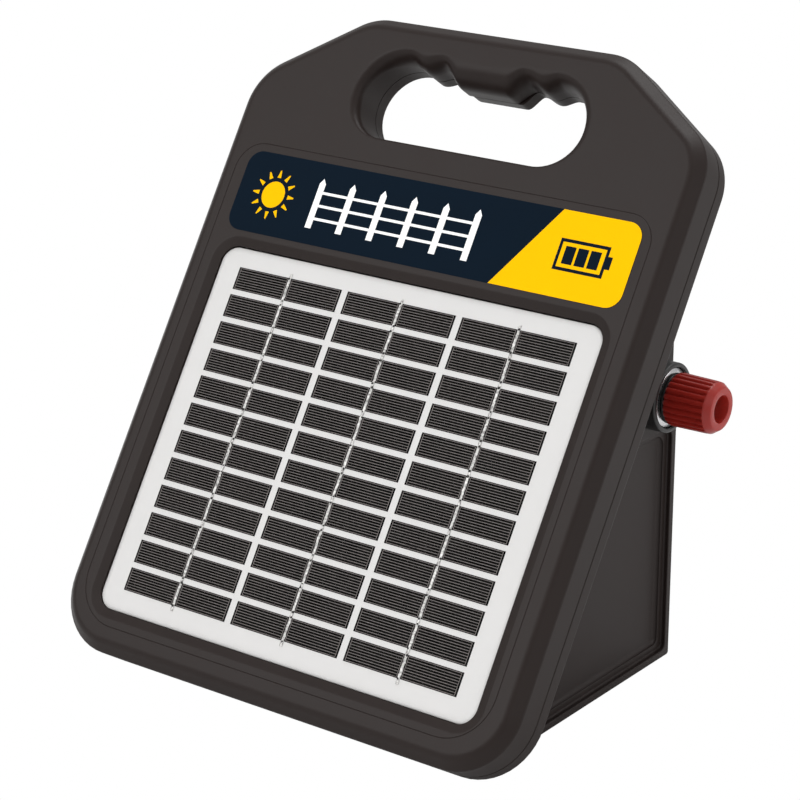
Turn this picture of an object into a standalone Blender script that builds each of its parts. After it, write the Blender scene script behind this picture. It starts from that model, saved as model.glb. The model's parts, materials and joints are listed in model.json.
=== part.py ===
"""Solar electric-fence energizer: a leaning slab with a hand-hole and a panel, on a wedge-shaped rear case.

Shapes are drawn in millimetres and built in metres. The datum is the middle of the cells' top edge.
Plate coordinates: x to the right, u up the slab, h out of its front face. Case coordinates: x, y, z.
"""

import math

import bmesh
import bpy
from mathutils import Matrix, Vector

MM = 0.001

# The slab and how it leans
LEAN = math.radians(33.1)
PLATE_HALF_WIDTH = 108.9
PLATE_BOTTOM = -163.5
PLATE_TOP = 113.0
FRONT_FACE = 2.0
BACK_FACE = -19.5
PARTING = -13.2
PARTING_GAP = 0.2
FRONT_FILLET = 5.0
BACK_FILLET = 1.2
WALL = 2.6
BOTTOM_CORNER = 26.0
SHOULDER_CORNER = 24.0
TOP_CORNER = 26.0
SHOULDER_U = 81.2
TOP_CORNER_X = 60.2

# Hand-hole
HOLE_BOTTOM = 62.7
HOLE_TOP = 97.0
HOLE_END_X = 35.5
RIDGE_CENTRE_U = 90.5
RIDGE_SIDE_U = 94.3
FINGER_U = 96.6
RIDGE_HALF_WIDTH = 11.0
GROOVE_X = 19.5
SIDE_RIDGE_X = 28.0
HOLE_SURROUND = 2.8

# Solar panel
WINDOW_HALF_WIDTH = 91.0
WINDOW_BOTTOM = -146.0
WINDOW_TOP = 7.9
WINDOW_CORNER = 10.0
WINDOW_FLOOR = -3.0
LEDGE_WIDTH = 6.0
LEDGE_BACK = -5.5
FRONT_WALL_BACK = -1.0
CELL_WIDTH = 52.0
CELL_GAP = 3.0
CELL_HEIGHT = 9.38
ROW_PITCH = 11.63
ROWS = 12
RIBBON_HALF_WIDTH = 0.8

# Label
LABEL_HALF_WIDTH = 94.0
LABEL_BOTTOM = 14.5
LABEL_TOP = 48.5
LABEL_CORNER = 6.5
LABEL_THICKNESS = 0.4

# Rear case
CASE_HALF_WIDTH = 86.5
CASE_INNER_HALF_WIDTH = 80.5
CASE_BOTTOM = -147.6
CASE_FLOOR = -145.0
CASE_BACK = 64.0
BACK_WALL_OUTER = 59.6
BACK_WALL_INNER = 57.1
CASE_BACK_TOP = 20.0
CASE_TOP_U = 56.0
SIDE_STEP_1 = 84.4
SIDE_STEP_2 = 83.0
UPPER_SIDE = 84.0
TERMINAL_PAD_RADIUS = 15.0
RIM = 3.0
BACK_RIM_HALF_WIDTH = 82.0

# Feet and what they stand on
FOOT_RADIUS = 5.0
FOOT_HEIGHT = 1.2
GAP = 0.3
GROUND = CASE_BOTTOM - GAP - FOOT_HEIGHT
FOOT_PLACES = ((76.0, 53.0), (-76.0, 53.0), (76.0, -52.0), (-76.0, -52.0))

# Terminals, measured outwards from the middle plane along each terminal's axis
TERMINAL_Y = 48.5
TERMINAL_Z = -32.5
RING_RADIUS = 14.2
RING_FACE = 94.0
WASHER_FACE = 93.0
BUSH_BARREL = 8.2
STUD_RADIUS = 3.95
BORE_RADIUS = 4.3
KNOB_BASE = 96.0
KNOB_END = 115.2
KNOB_RADIUS = 10.4
KNOB_GROOVE = 0.65
KNOB_FLUTES = 24
KNOB_CHAMFER = 2.7
KNOB_FACE_RADIUS = 8.4
KNOB_HOLE_RADIUS = 5.4
INSERT_RADIUS = 6.2
INSERT_END = 106.5
SEAT_RADIUS = 12.3
CONTACT_RADIUS = 11.7
CLAMP_RADIUS = 10.2
CLAMP_CUP_RADIUS = 7.5
CLAMP_END = 95.7
STUD_START = 68.0
STUD_END = 108.5
NUT_START = 71.4
NUT_END = 76.3
NUT_ACROSS_FLATS = 13.0
LUG_START = 76.6

# Back cover, switch and lamp, on the case's back wall
COVER_HALF_WIDTH = 53.0
COVER_BOTTOM = -143.8
COVER_TOP = -29.0
COVER_INNER = 61.0
OPENING_HALF_WIDTH = 42.0
OPENING_BOTTOM = -132.0
OPENING_TOP = -40.0
OPENING_CORNER = 5.0
COVER_SCREWS = ((49.0, -33.0), (-49.0, -33.0), (49.0, -139.5), (-49.0, -139.5))
COVER_SCREW_RADIUS = 1.0
COVER_BOSS_RADIUS = 3.4
COVER_BOSS_FRONT = 49.0
SWITCH_X = 30.0
SWITCH_Z = -7.0
SWITCH_RADIUS = 10.0
BEZEL_RADIUS = 12.0
BEZEL_FACE = 62.4
ROCKER_HALF_WIDTH = 5.0
ROCKER_HALF_LENGTH = 7.0
ROCKER_PIVOT_Y = 58.6
ROCKER_REST = math.radians(-10.0)
LAMP_X = -30.0
LAMP_RADIUS = 2.5

# Screws that hold the two shells together, as (x, u)
HOUSING_SCREWS = (
    (66.0, 92.0),
    (-66.0, 92.0),
    (98.0, -30.0),
    (-98.0, -30.0),
    (93.0, -146.0),
    (-93.0, -146.0),
)
PILLAR_RADIUS = 4.0
SCREW_RADIUS = 1.45
SCREW_HEAD_RADIUS = 2.8

# Battery and electronics inside the case
BATTERY_HALF_WIDTH = 35.0
BATTERY_FRONT = 9.0
BATTERY_BACK = 56.0
BATTERY_TOP = -52.0
TAB_X = 24.0
TAB_Y = 47.4
TAB_HEIGHT = 6.3
CRADLE_BOTTOM = -98.0
BOARD_HALF_WIDTH = 62.0
BOARD_FRONT = -50.0
BOARD_BACK = 4.0
BOARD_BOTTOM = -139.6
BOARD_TOP = -138.0
BOARD_POST = 3.2
TRANSFORMER_X = 30.0
TRANSFORMER_Y = -20.0


# ---------------------------------------------------------------- outlines


def inset_corners(corners, inset):
    """Corners (x, y, radius) of a convex anticlockwise polygon, with each side moved in by inset."""
    moved = []
    for index, (x, y, radius) in enumerate(corners):
        here = Vector((x, y))
        before = (here - Vector(corners[index - 1][:2])).normalized()
        after = (Vector(corners[(index + 1) % len(corners)][:2]) - here).normalized()
        normal_before = Vector((-before.y, before.x))
        normal_after = Vector((-after.y, after.x))
        bisector = normal_before + normal_after
        shift = bisector * (inset / (1 + normal_before.dot(normal_after)))
        moved.append((x + shift.x, y + shift.y, max(radius - inset, 0.4)))
    return moved


def rounded(corners, steps=5):
    """Points of a convex anticlockwise polygon whose corners are arcs."""
    points = []
    for index, (x, y, radius) in enumerate(corners):
        here = Vector((x, y))
        back = (Vector(corners[index - 1][:2]) - here).normalized()
        ahead = (Vector(corners[(index + 1) % len(corners)][:2]) - here).normalized()
        half = back.angle(ahead) / 2
        centre = here + (back + ahead).normalized() * (radius / math.sin(half))
        start = here + back * (radius / math.tan(half)) - centre
        sweep = math.pi - 2 * half
        for step in range(steps + 1):
            turned = start.copy()
            turned.rotate(Matrix.Rotation(sweep * step / steps, 2))
            points.append((centre.x + turned.x, centre.y + turned.y))
    return points


def box_corners(half_width, bottom, top, radius):
    return [
        (-half_width, bottom, radius),
        (half_width, bottom, radius),
        (half_width, top, radius),
        (-half_width, top, radius),
    ]


def plate_outline(inset=0.0):
    half = PLATE_HALF_WIDTH
    corners = [
        (-half, PLATE_BOTTOM, BOTTOM_CORNER),
        (half, PLATE_BOTTOM, BOTTOM_CORNER),
        (half, SHOULDER_U, SHOULDER_CORNER),
        (TOP_CORNER_X, PLATE_TOP, TOP_CORNER),
        (-TOP_CORNER_X, PLATE_TOP, TOP_CORNER),
        (-half, SHOULDER_U, SHOULDER_CORNER),
    ]
    return rounded(inset_corners(corners, inset))


def ease(share):
    return 0.5 - 0.5 * math.cos(math.pi * share)


def finger_line(x):
    """The hand-hole's upper edge: a wide middle ridge, then a groove and a small ridge on each side."""
    knots = (
        (0.0, RIDGE_CENTRE_U),
        (RIDGE_HALF_WIDTH, RIDGE_CENTRE_U),
        (GROOVE_X, FINGER_U),
        (SIDE_RIDGE_X, RIDGE_SIDE_U),
        (HOLE_END_X, HOLE_TOP),
    )
    reach = min(abs(x), HOLE_END_X)
    for (x0, u0), (x1, u1) in zip(knots, knots[1:]):
        if reach <= x1:
            return u0 + (u1 - u0) * ease((reach - x0) / (x1 - x0))
    return HOLE_TOP


def hand_hole_outline():
    """Half-circle ends, a straight lower edge, and the finger line above."""
    radius = (HOLE_TOP - HOLE_BOTTOM) / 2
    middle = HOLE_BOTTOM + radius
    end_steps, half_steps = 9, 11
    right = []
    left = []
    for step in range(end_steps + 1):
        angle = math.pi * (step / end_steps - 0.5)
        right.append((HOLE_END_X + radius * math.cos(angle), middle + radius * math.sin(angle)))
        left.append((-HOLE_END_X - radius * math.cos(angle), middle - radius * math.sin(angle)))
    upper = []
    for step in range(1, 2 * half_steps):
        x = HOLE_END_X * (1 - step / half_steps)
        upper.append((x, finger_line(x)))
    return right + upper + left


def string_outline(centre):
    """One string of cells: wide where a cell is, and as narrow as the ribbon between two cells."""
    right = []
    for row in range(ROWS):
        top = -row * ROW_PITCH
        right += [(CELL_WIDTH / 2, top), (CELL_WIDTH / 2, top - CELL_HEIGHT)]
        if row < ROWS - 1:
            right += [(RIBBON_HALF_WIDTH, top - CELL_HEIGHT), (RIBBON_HALF_WIDTH, top - ROW_PITCH)]
    left = [(-x, u) for x, u in reversed(right)]
    return [(centre + x, u) for x, u in left + right]


# ---------------------------------------------------------------- mesh building


def clear_scene():
    for obj in list(bpy.data.objects):
        bpy.data.objects.remove(obj, do_unlink=True)


def make_frame(name, parent=None, location=(0, 0, 0), rotation=(0, 0, 0)):
    frame = bpy.data.objects.new(name, None)
    frame.location = Vector(location) * MM
    frame.rotation_euler = rotation
    frame.parent = parent
    bpy.context.scene.collection.objects.link(frame)
    return frame


def make_material(name, colour, roughness, metallic=0.0, alpha=1.0):
    material = bpy.data.materials.new(name)
    material.use_nodes = True
    shader = material.node_tree.nodes["Principled BSDF"]
    shader.inputs["Base Color"].default_value = (*colour, 1)
    shader.inputs["Roughness"].default_value = roughness
    shader.inputs["Metallic"].default_value = metallic
    shader.inputs["Alpha"].default_value = alpha
    return material


def finish_mesh(name, bm, parent, material=None):
    """An object whose faces point outwards, smooth except along its sharp edges."""
    bmesh.ops.recalc_face_normals(bm, faces=bm.faces)
    mesh = bpy.data.meshes.new(name)
    bm.to_mesh(mesh)
    bm.free()
    mesh.shade_smooth()
    mesh.set_sharp_from_angle(angle=math.radians(35))
    obj = bpy.data.objects.new(name, mesh)
    obj.parent = parent
    bpy.context.scene.collection.objects.link(obj)
    if material:
        mesh.materials.append(material)
    return obj


def loft(name, rings, parent, material=None, close=False):
    """Skin over rings of equally many points. The ends are capped, or the last ring joins the first."""
    bm = bmesh.new()
    rows = [[bm.verts.new(Vector(point) * MM) for point in ring] for ring in rings]
    pairs = list(zip(rows, rows[1:]))
    if close:
        pairs.append((rows[-1], rows[0]))
    else:
        bm.faces.new(list(reversed(rows[0])))
        bm.faces.new(rows[-1])
    for lower, upper in pairs:
        for index in range(len(lower)):
            after = (index + 1) % len(lower)
            bm.faces.new((lower[index], lower[after], upper[after], upper[index]))
    return finish_mesh(name, bm, parent, material)


def slab(name, outline, low, high, parent, material=None):
    """An outline in the first two axes, raised along the third."""
    return loft(name, [[(x, y, z) for x, y in outline] for z in (low, high)], parent, material)


def prism_x(name, outline, low, high, parent, material=None):
    """An outline in y and z, drawn along x."""
    return loft(name, [[(x, y, z) for y, z in outline] for x in (low, high)], parent, material)


def prism_y(name, outline, low, high, parent, material=None):
    """An outline in x and z, drawn along y."""
    return loft(name, [[(x, y, z) for x, z in outline] for y in (low, high)], parent, material)


def block(name, low, high, parent, material=None):
    """A box between two opposite corners."""
    outline = [(low[0], low[1]), (high[0], low[1]), (high[0], high[1]), (low[0], high[1])]
    return slab(name, outline, low[2], high[2], parent, material)


def turned_ring(name, stations, parent, material=None, steps=24):
    """A closed section of (z, radius) turned round local Z. A radius may be a function of the angle."""
    rings = []
    for step in range(steps):
        angle = 2 * math.pi * step / steps
        ring = []
        for z, radius in stations:
            reach = radius(angle) if callable(radius) else radius
            ring.append((reach * math.cos(angle), reach * math.sin(angle), z))
        rings.append(ring)
    return loft(name, rings, parent, material, close=True)


def turned_solid(name, stations, parent, material=None, steps=20):
    """A solid turned round local Z from (z, radius) stations, flat at both ends."""
    rings = []
    for z, radius in stations:
        angles = [2 * math.pi * step / steps for step in range(steps)]
        rings.append([(radius * math.cos(angle), radius * math.sin(angle), z) for angle in angles])
    return loft(name, rings, parent, material)


def smooth_line(path, bend):
    """A Catmull-Rom curve through the points of path, with bend steps to each stretch."""
    points = [Vector(point) for point in path]
    line = []
    for index in range(len(points) - 1):
        before = points[max(index - 1, 0)]
        start = points[index]
        end = points[index + 1]
        after = points[min(index + 2, len(points) - 1)]
        square = 2 * before - 5 * start + 4 * end - after
        cube = 3 * start - before - 3 * end + after
        for step in range(bend):
            t = step / bend
            line.append(start + 0.5 * ((end - before) * t + square * t**2 + cube * t**3))
    line.append(points[-1])
    return line


def tube(name, path, radius, parent, material, sides=6, bend=3):
    """A wire through the points of path, smoothed between them."""
    line = smooth_line(path, bend)
    side = Vector((1, 0, 0))
    rings = []
    for index, point in enumerate(line):
        along = (line[min(index + 1, len(line) - 1)] - line[max(index - 1, 0)]).normalized()
        side = (side - along * side.dot(along)).normalized()
        other = along.cross(side)
        ring = []
        for step in range(sides):
            angle = 2 * math.pi * step / sides
            ring.append(point + (side * math.cos(angle) + other * math.sin(angle)) * radius)
        rings.append(ring)
    return loft(name, rings, parent, material)


def boolean(target, other, operation):
    """Cut or join another object, which is then only a helper."""
    modifier = target.modifiers.new(other.name, "BOOLEAN")
    modifier.operation = operation
    modifier.object = other
    modifier.solver = "EXACT"
    other.hide_render = True
    other.display_type = "WIRE"


def cut(target, *cutters):
    for cutter in cutters:
        boolean(target, cutter, "DIFFERENCE")


def join(target, *pieces):
    for piece in pieces:
        boolean(target, piece, "UNION")


# ---------------------------------------------------------------- places shared by several pieces


def on_plate(u, h):
    """Case coordinates (y, z) of the point u up the slab and h out of it."""
    y = u * math.sin(LEAN) - h * math.cos(LEAN)
    z = u * math.cos(LEAN) + h * math.sin(LEAN)
    return (y, z)


def facing_back(name, x, z, frame):
    """A frame at (x, z) in the case whose local Z points to the rear."""
    return make_frame(name, frame, (x, 0, z), (math.radians(-90), 0, 0))


def depth_middle():
    """Half way between the slab's foremost and rearmost points."""
    front = on_plate(PLATE_BOTTOM + FRONT_FILLET, FRONT_FACE - FRONT_FILLET)[0] - FRONT_FILLET
    back = on_plate(PLATE_TOP, BACK_FACE)[0]
    return (front + back) / 2


# ---------------------------------------------------------------- housing


def edge_rings(face, fillet, inwards):
    """(inset, h) round a fillet, from a side to a face. inwards is 1 for a front face, -1 for a back."""
    steps = 3
    rings = []
    for step in range(steps + 1):
        angle = math.pi / 2 * step / steps
        rings.append((fillet * (1 - math.cos(angle)), face - inwards * fillet * (1 - math.sin(angle))))
    return rings


def plate_solid(name, start, face, fillet, inwards, parent, material=None):
    stations = [(0.0, start)] + edge_rings(face, fillet, inwards)
    rings = [[(x, u, h) for x, u in plate_outline(inset)] for inset, h in stations]
    return loft(name, rings, parent, material)


def hole_surround(name, parent):
    """The wall left standing round the hand-hole."""
    radius = (HOLE_TOP - HOLE_BOTTOM) / 2 + HOLE_SURROUND
    half = HOLE_END_X + radius
    corners = box_corners(half, HOLE_BOTTOM - HOLE_SURROUND, HOLE_TOP + HOLE_SURROUND, radius - 1.0)
    return slab(name, rounded(corners), -30, 10, parent)


def screw_cylinders(name, radius, low, high, parent):
    """A cylinder at each housing screw, between two heights out of the slab."""
    pieces = []
    for index, (x, u) in enumerate(HOUSING_SCREWS):
        place = make_frame(f"{name}_{index}_place", parent, (x, u, 0))
        pieces.append(turned_solid(f"{name}_{index}", [(low, radius), (high, radius)], place, steps=10))
    return pieces


def plate_loft(name, stations, plate):
    """A helper solid whose outline is the slab's, drawn in by inset at each h."""
    rings = [[(x, u, h) for x, u in plate_outline(inset)] for inset, h in stations]
    return loft(name, rings, plate)


def front_housing(plate, material):
    """The front shell: face, fillet and side walls, with the panel's window and the label's recess."""
    start = PARTING + PARTING_GAP
    shell = plate_solid("front_housing", start, FRONT_FACE, FRONT_FILLET, 1, plate, material)
    stations = [(WALL, -20.0), (WALL, FRONT_WALL_BACK - 5.0), (WALL + 5.0, FRONT_WALL_BACK)]
    cavity = plate_loft("front_cavity", stations, plate)
    window = box_corners(WINDOW_HALF_WIDTH, WINDOW_BOTTOM, WINDOW_TOP, WINDOW_CORNER)
    ledge = slab("front_ledge", rounded(inset_corners(window, -3.0)), LEDGE_BACK, 5, plate)
    cut(cavity, ledge, hole_surround("front_surround", plate))
    cut(cavity, *screw_cylinders("front_boss", PILLAR_RADIUS, -25, 5, plate))
    recess = slab("window_recess", rounded(window), WINDOW_FLOOR, 10, plate)
    through = slab("window_through", rounded(inset_corners(window, LEDGE_WIDTH)), -25, 10, plate)
    label = box_corners(LABEL_HALF_WIDTH + GAP, LABEL_BOTTOM - GAP, LABEL_TOP + GAP, LABEL_CORNER)
    label_recess = slab("label_recess", rounded(label), FRONT_FACE - LABEL_THICKNESS - GAP, 10, plate)
    cut(shell, cavity, recess, through, label_recess)
    cut(shell, slab("front_hand_hole", hand_hole_outline(), -40, 20, plate))
    cut(shell, *screw_cylinders("front_pilot", 1.75, -30, -4, plate))
    return shell


def case_outline():
    """The rear case from the side: flat below, upright behind, and sloping up to the slab's back."""
    return [
        on_plate(PLATE_BOTTOM + 1.5, BACK_FACE + 1.5),
        (on_plate(PLATE_BOTTOM, BACK_FACE)[0] + 0.4, CASE_BOTTOM),
        (CASE_BACK, CASE_BOTTOM),
        (CASE_BACK, CASE_BACK_TOP),
        on_plate(CASE_TOP_U, BACK_FACE - 0.1),
        on_plate(CASE_TOP_U, BACK_FACE + 1.5),
    ]


def case_cavity_outline():
    """The hollow inside the case, from the side."""
    return [
        on_plate(PLATE_BOTTOM + 6.0, BACK_FACE + 4.5),
        (on_plate(PLATE_BOTTOM, BACK_FACE)[0] + 4.5, CASE_FLOOR),
        (BACK_WALL_INNER, CASE_FLOOR),
        (BACK_WALL_INNER, CASE_BACK_TOP + 2.6),
        on_plate(CASE_TOP_U - 2.0, BACK_FACE + 4.5),
    ]


def side_recesses(side, frame):
    """Two shallow steps in the case's side wall, inside a raised rim along its back and bottom edges."""
    cutters = []
    top = TERMINAL_Z - RING_RADIUS - 0.3
    front = -160.0
    for index, reach in enumerate((SIDE_STEP_1, SIDE_STEP_2)):
        margin = RIM * (index + 1)
        back = CASE_BACK - margin
        low = CASE_BOTTOM + margin
        high = top - RIM * index
        corners = [(front, low, 1.0), (back, low, 3.0), (back, high, 6.0), (front, high, 1.0)]
        low_x, high_x = sorted((side * reach, side * (CASE_HALF_WIDTH + 5)))
        name = f"side_recess_{index}_{side}"
        cutters.append(prism_x(name, rounded(corners, 4), low_x, high_x, frame))
    return cutters


def upper_recess(side, frame):
    """The side wall above the terminal, set back except for a round pad behind the terminal."""
    front, back, top = -60.0, CASE_BACK + 10, 80.0
    outline = [(front, TERMINAL_Z), (back, TERMINAL_Z), (back, top), (front, top)]
    low_x, high_x = sorted((side * UPPER_SIDE, side * (CASE_HALF_WIDTH + 5)))
    recess = prism_x(f"upper_recess_{side}", outline, low_x, high_x, frame)
    axis = terminal_frame(f"terminal_pad_axis_{side}", side, frame)
    stations = [(UPPER_SIDE - 5, TERMINAL_PAD_RADIUS), (CASE_HALF_WIDTH + 8, TERMINAL_PAD_RADIUS)]
    cut(recess, turned_solid(f"terminal_pad_{side}", stations, axis, steps=24))
    return recess


def in_front_of_case(plate):
    """Everything in front of the slab's back face, which the side recesses leave alone."""
    return block("recess_limit", (-150, -400, BACK_FACE), (150, 400, 60), plate)


def case_solid(plate, frame):
    """The wedge behind the slab, with its stepped side walls."""
    case = prism_x("case_solid", case_outline(), -CASE_HALF_WIDTH, CASE_HALF_WIDTH, frame)
    limit = in_front_of_case(plate)
    for side in (1, -1):
        for recess in side_recesses(side, frame) + [upper_recess(side, frame)]:
            cut(recess, limit)
            cut(case, recess)
    return case


def case_hollow(frame):
    """The room inside the case, less the bosses for the cover's screws and the posts under the board."""
    half = CASE_INNER_HALF_WIDTH
    hollow = prism_x("case_cavity", case_cavity_outline(), -half, half, frame)
    for index, (x, z) in enumerate(COVER_SCREWS):
        place = facing_back(f"cover_boss_{index}_place", x, z, frame)
        stations = [(COVER_BOSS_FRONT, COVER_BOSS_RADIUS), (70.0, COVER_BOSS_RADIUS)]
        cut(hollow, turned_solid(f"cover_boss_{index}", stations, place, steps=10))
    for index, (x, y) in enumerate(board_posts()):
        place = make_frame(f"board_post_{index}_place", frame, (x, y, 0))
        stations = [(CASE_BOTTOM - 5, BOARD_POST), (BOARD_BOTTOM - GAP, BOARD_POST)]
        cut(hollow, turned_solid(f"board_post_{index}", stations, place, steps=12))
    return hollow


def terminal_hole(side, frame):
    place = terminal_frame(f"terminal_hole_axis_{side}", side, frame)
    radius = BUSH_BARREL + GAP
    stations = [(CASE_INNER_HALF_WIDTH - 10, radius), (CASE_HALF_WIDTH + 10, radius)]
    return turned_solid(f"terminal_hole_{side}", stations, place)


def rear_housing(plate, frame, material):
    """The rear shell: the slab's shallow back tray and the wedge-shaped case, in one moulding."""
    start = PARTING - PARTING_GAP
    shell = plate_solid("rear_housing", start, BACK_FACE, BACK_FILLET, -1, plate, material)
    join(shell, case_solid(plate, frame))
    tray = plate_loft("tray_cavity", [(WALL, 0.0), (WALL, BACK_FACE + WALL)], plate)
    cut(tray, hole_surround("rear_surround", plate))
    cut(tray, *screw_cylinders("rear_pillar", PILLAR_RADIUS, -40, 5, plate))
    cut(shell, tray, case_hollow(frame))
    cut(shell, slab("rear_hand_hole", hand_hole_outline(), -40, 20, plate))
    cut(shell, *screw_cylinders("rear_clearance", SCREW_RADIUS + 0.35, -40, 5, plate))
    counterbore = SCREW_HEAD_RADIUS + 0.5
    cut(shell, *screw_cylinders("rear_counterbore", counterbore, -40, BACK_FACE + WALL, plate))
    cut(shell, *back_wall_cutters(frame))
    for side in (1, -1):
        cut(shell, terminal_hole(side, frame))
    return shell


def back_wall_cutters(frame):
    """The recess between the rims, the battery opening, and holes for cover screws, switch and lamp."""
    beyond = CASE_BACK + 5
    rims = box_corners(BACK_RIM_HALF_WIDTH, CASE_BOTTOM + 3.2, CASE_BACK_TOP - 4.0, 4.0)
    recess = prism_y("back_recess", rounded(rims, 3), BACK_WALL_OUTER, beyond, frame)
    edges = box_corners(OPENING_HALF_WIDTH, OPENING_BOTTOM, OPENING_TOP, OPENING_CORNER)
    opening = prism_y("battery_opening", rounded(edges, 3), BACK_WALL_INNER - 5, beyond, frame)
    cutters = [recess, opening]
    holes = [(x, z, COVER_SCREW_RADIUS + 0.3, COVER_BOSS_FRONT + 2.0) for x, z in COVER_SCREWS]
    holes.append((SWITCH_X, SWITCH_Z, SWITCH_RADIUS + GAP, 50.0))
    holes.append((LAMP_X, SWITCH_Z, LAMP_RADIUS + GAP, 50.0))
    for index, (x, z, radius, start) in enumerate(holes):
        place = facing_back(f"back_hole_{index}_place", x, z, frame)
        cutters.append(turned_solid(f"back_hole_{index}", [(start, radius), (75.0, radius)], place))
    return cutters


def housing_seal(plate, material):
    """The cord that seals the joint between the shells, just inside their walls."""
    size = 1.4
    outer, inner = WALL + 0.4, WALL + 0.4 + size
    low, high = PARTING - size, PARTING + size
    rings = []
    for inset, h in ((outer, low), (inner, low), (inner, high), (outer, high)):
        rings.append([(x, u, h) for x, u in plate_outline(inset)])
    return loft("housing_seal", rings, plate, material, close=True)


def housing_screws(plate, material):
    for index, (x, u) in enumerate(HOUSING_SCREWS):
        place = make_frame(f"housing_screw_place_{index + 1}", plate, (x, u, 0))
        stations = [
            (BACK_FACE + 0.3, SCREW_HEAD_RADIUS - 0.5),
            (BACK_FACE + 0.8, SCREW_HEAD_RADIUS),
            (BACK_FACE + 2.2, SCREW_HEAD_RADIUS),
            (BACK_FACE + 2.21, SCREW_RADIUS),
            (-7.5, SCREW_RADIUS),
            (-6.0, 0.6),
        ]
        turned_solid(f"housing_screw_{index + 1}", stations, place, material, steps=10)


def feet(frame, material):
    for index, (x, y) in enumerate(FOOT_PLACES):
        place = make_frame(f"foot_place_{index + 1}", frame, (x, y, GROUND))
        stations = [(0.0, FOOT_RADIUS - 0.5), (0.5, FOOT_RADIUS), (FOOT_HEIGHT, FOOT_RADIUS)]
        turned_solid(f"foot_{index + 1}", stations, place, material, steps=20)


# ---------------------------------------------------------------- solar panel and label


def solar_panel(plate, white, cell, clear):
    window = box_corners(WINDOW_HALF_WIDTH, WINDOW_BOTTOM, WINDOW_TOP, WINDOW_CORNER)
    outline = rounded(inset_corners(window, 0.4))
    slab("solar_backsheet", outline, WINDOW_FLOOR + GAP, -0.5, plate, white)
    names = ("solar_string_left", "solar_string_centre", "solar_string_right")
    for index, name in enumerate(names):
        centre = (index - 1) * (CELL_WIDTH + CELL_GAP)
        slab(name, string_outline(centre), -0.2, 0.1, plate, cell)
    slab("solar_cover", outline, 0.4, 1.6, plate, clear)


def label_plate(plate, material):
    corners = box_corners(LABEL_HALF_WIDTH, LABEL_BOTTOM, LABEL_TOP, LABEL_CORNER)
    slab("label_plate", rounded(corners), FRONT_FACE - LABEL_THICKNESS, FRONT_FACE, plate, material)


# ---------------------------------------------------------------- terminals


def terminal_frame(name, side, frame):
    """A frame on the terminal's axis whose local Z points outwards from the middle plane."""
    return make_frame(name, frame, (0, TERMINAL_Y, TERMINAL_Z), (0, side * math.pi / 2, 0))


def fluted(angle):
    return KNOB_RADIUS - KNOB_GROOVE * (0.5 + 0.5 * math.cos(KNOB_FLUTES * angle))


def hexagon(across_flats):
    def radius(angle):
        turn = (angle + math.pi / 6) % (math.pi / 3) - math.pi / 6
        return across_flats / 2 / math.cos(turn)
    return radius


def washer(name, low, high, radius, axis, material):
    """A flat ring with the stud's bore."""
    stations = [(low, BORE_RADIUS), (low, radius), (high, radius), (high, BORE_RADIUS)]
    return turned_ring(name, stations, axis, material)


def clamp_washer(name, axis, material):
    """The washer that the knob presses on the wire: a shallow cup, open towards the knob."""
    floor = WASHER_FACE + GAP
    stations = [
        (floor, BORE_RADIUS),
        (floor, CLAMP_RADIUS),
        (CLAMP_END, CLAMP_RADIUS),
        (CLAMP_END, CLAMP_CUP_RADIUS),
        (floor + 1.2, CLAMP_CUP_RADIUS),
        (floor + 1.2, BORE_RADIUS),
    ]
    turned_ring(name, stations, axis, material)


def terminal_bush(name, axis, material):
    """An insulating bush: a barrel through the case wall, and a round head with a seat for the washer."""
    shoulder = CASE_HALF_WIDTH + GAP
    stations = [
        (78.0, BORE_RADIUS),
        (78.0, BUSH_BARREL),
        (shoulder, BUSH_BARREL),
        (shoulder, RING_RADIUS),
        (RING_FACE - 0.5, RING_RADIUS),
        (RING_FACE, RING_RADIUS - 0.5),
        (RING_FACE, SEAT_RADIUS),
        (WASHER_FACE - 1.7, SEAT_RADIUS),
        (WASHER_FACE - 1.7, BORE_RADIUS),
    ]
    turned_ring(name, stations, axis, material)


def knob(name, axis, material):
    """A fluted knob, hollow behind for its threaded insert, with a round hole in its end face."""
    socket = INSERT_RADIUS + GAP
    socket_end = INSERT_END + GAP
    stations = [
        (KNOB_BASE, socket),
        (KNOB_BASE, fluted),
        (KNOB_END - KNOB_CHAMFER, fluted),
        (KNOB_END, KNOB_FACE_RADIUS),
        (KNOB_END, KNOB_HOLE_RADIUS),
        (socket_end, KNOB_HOLE_RADIUS),
        (socket_end, socket),
    ]
    turned_ring(name, stations, axis, material, steps=2 * KNOB_FLUTES)


def stud(name, axis, material):
    chamfer = 0.6
    stations = [
        (STUD_START, STUD_RADIUS - chamfer),
        (STUD_START + chamfer, STUD_RADIUS),
        (STUD_END - chamfer, STUD_RADIUS),
        (STUD_END, STUD_RADIUS - chamfer),
    ]
    turned_solid(name, stations, axis, material)


def stud_nut(name, axis, material):
    side = hexagon(NUT_ACROSS_FLATS)
    stations = [(NUT_START, BORE_RADIUS), (NUT_START, side), (NUT_END, side), (NUT_END, BORE_RADIUS)]
    turned_ring(name, stations, axis, material)


def ring_lug(name, side, axis, material):
    """A ring on the stud, inside the case, with a tail hanging down for its wire."""
    tail = -side
    ring_radius, tail_half, tail_end = 6.8, 2.2, 17.0
    outline = []
    for step in range(15):
        angle = math.radians(-150 + 300 * step / 14)
        outline.append((-tail * ring_radius * math.cos(angle), ring_radius * math.sin(angle)))
    for x, y in ((9.0, tail_half), (tail_end, tail_half), (tail_end, -tail_half), (9.0, -tail_half)):
        outline.append((tail * x, y))
    lug = slab(name, outline, LUG_START, LUG_START + 1.0, axis, material)
    cut(lug, turned_solid(f"{name}_bore", [(70.0, BORE_RADIUS), (80.0, BORE_RADIUS)], axis))


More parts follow.
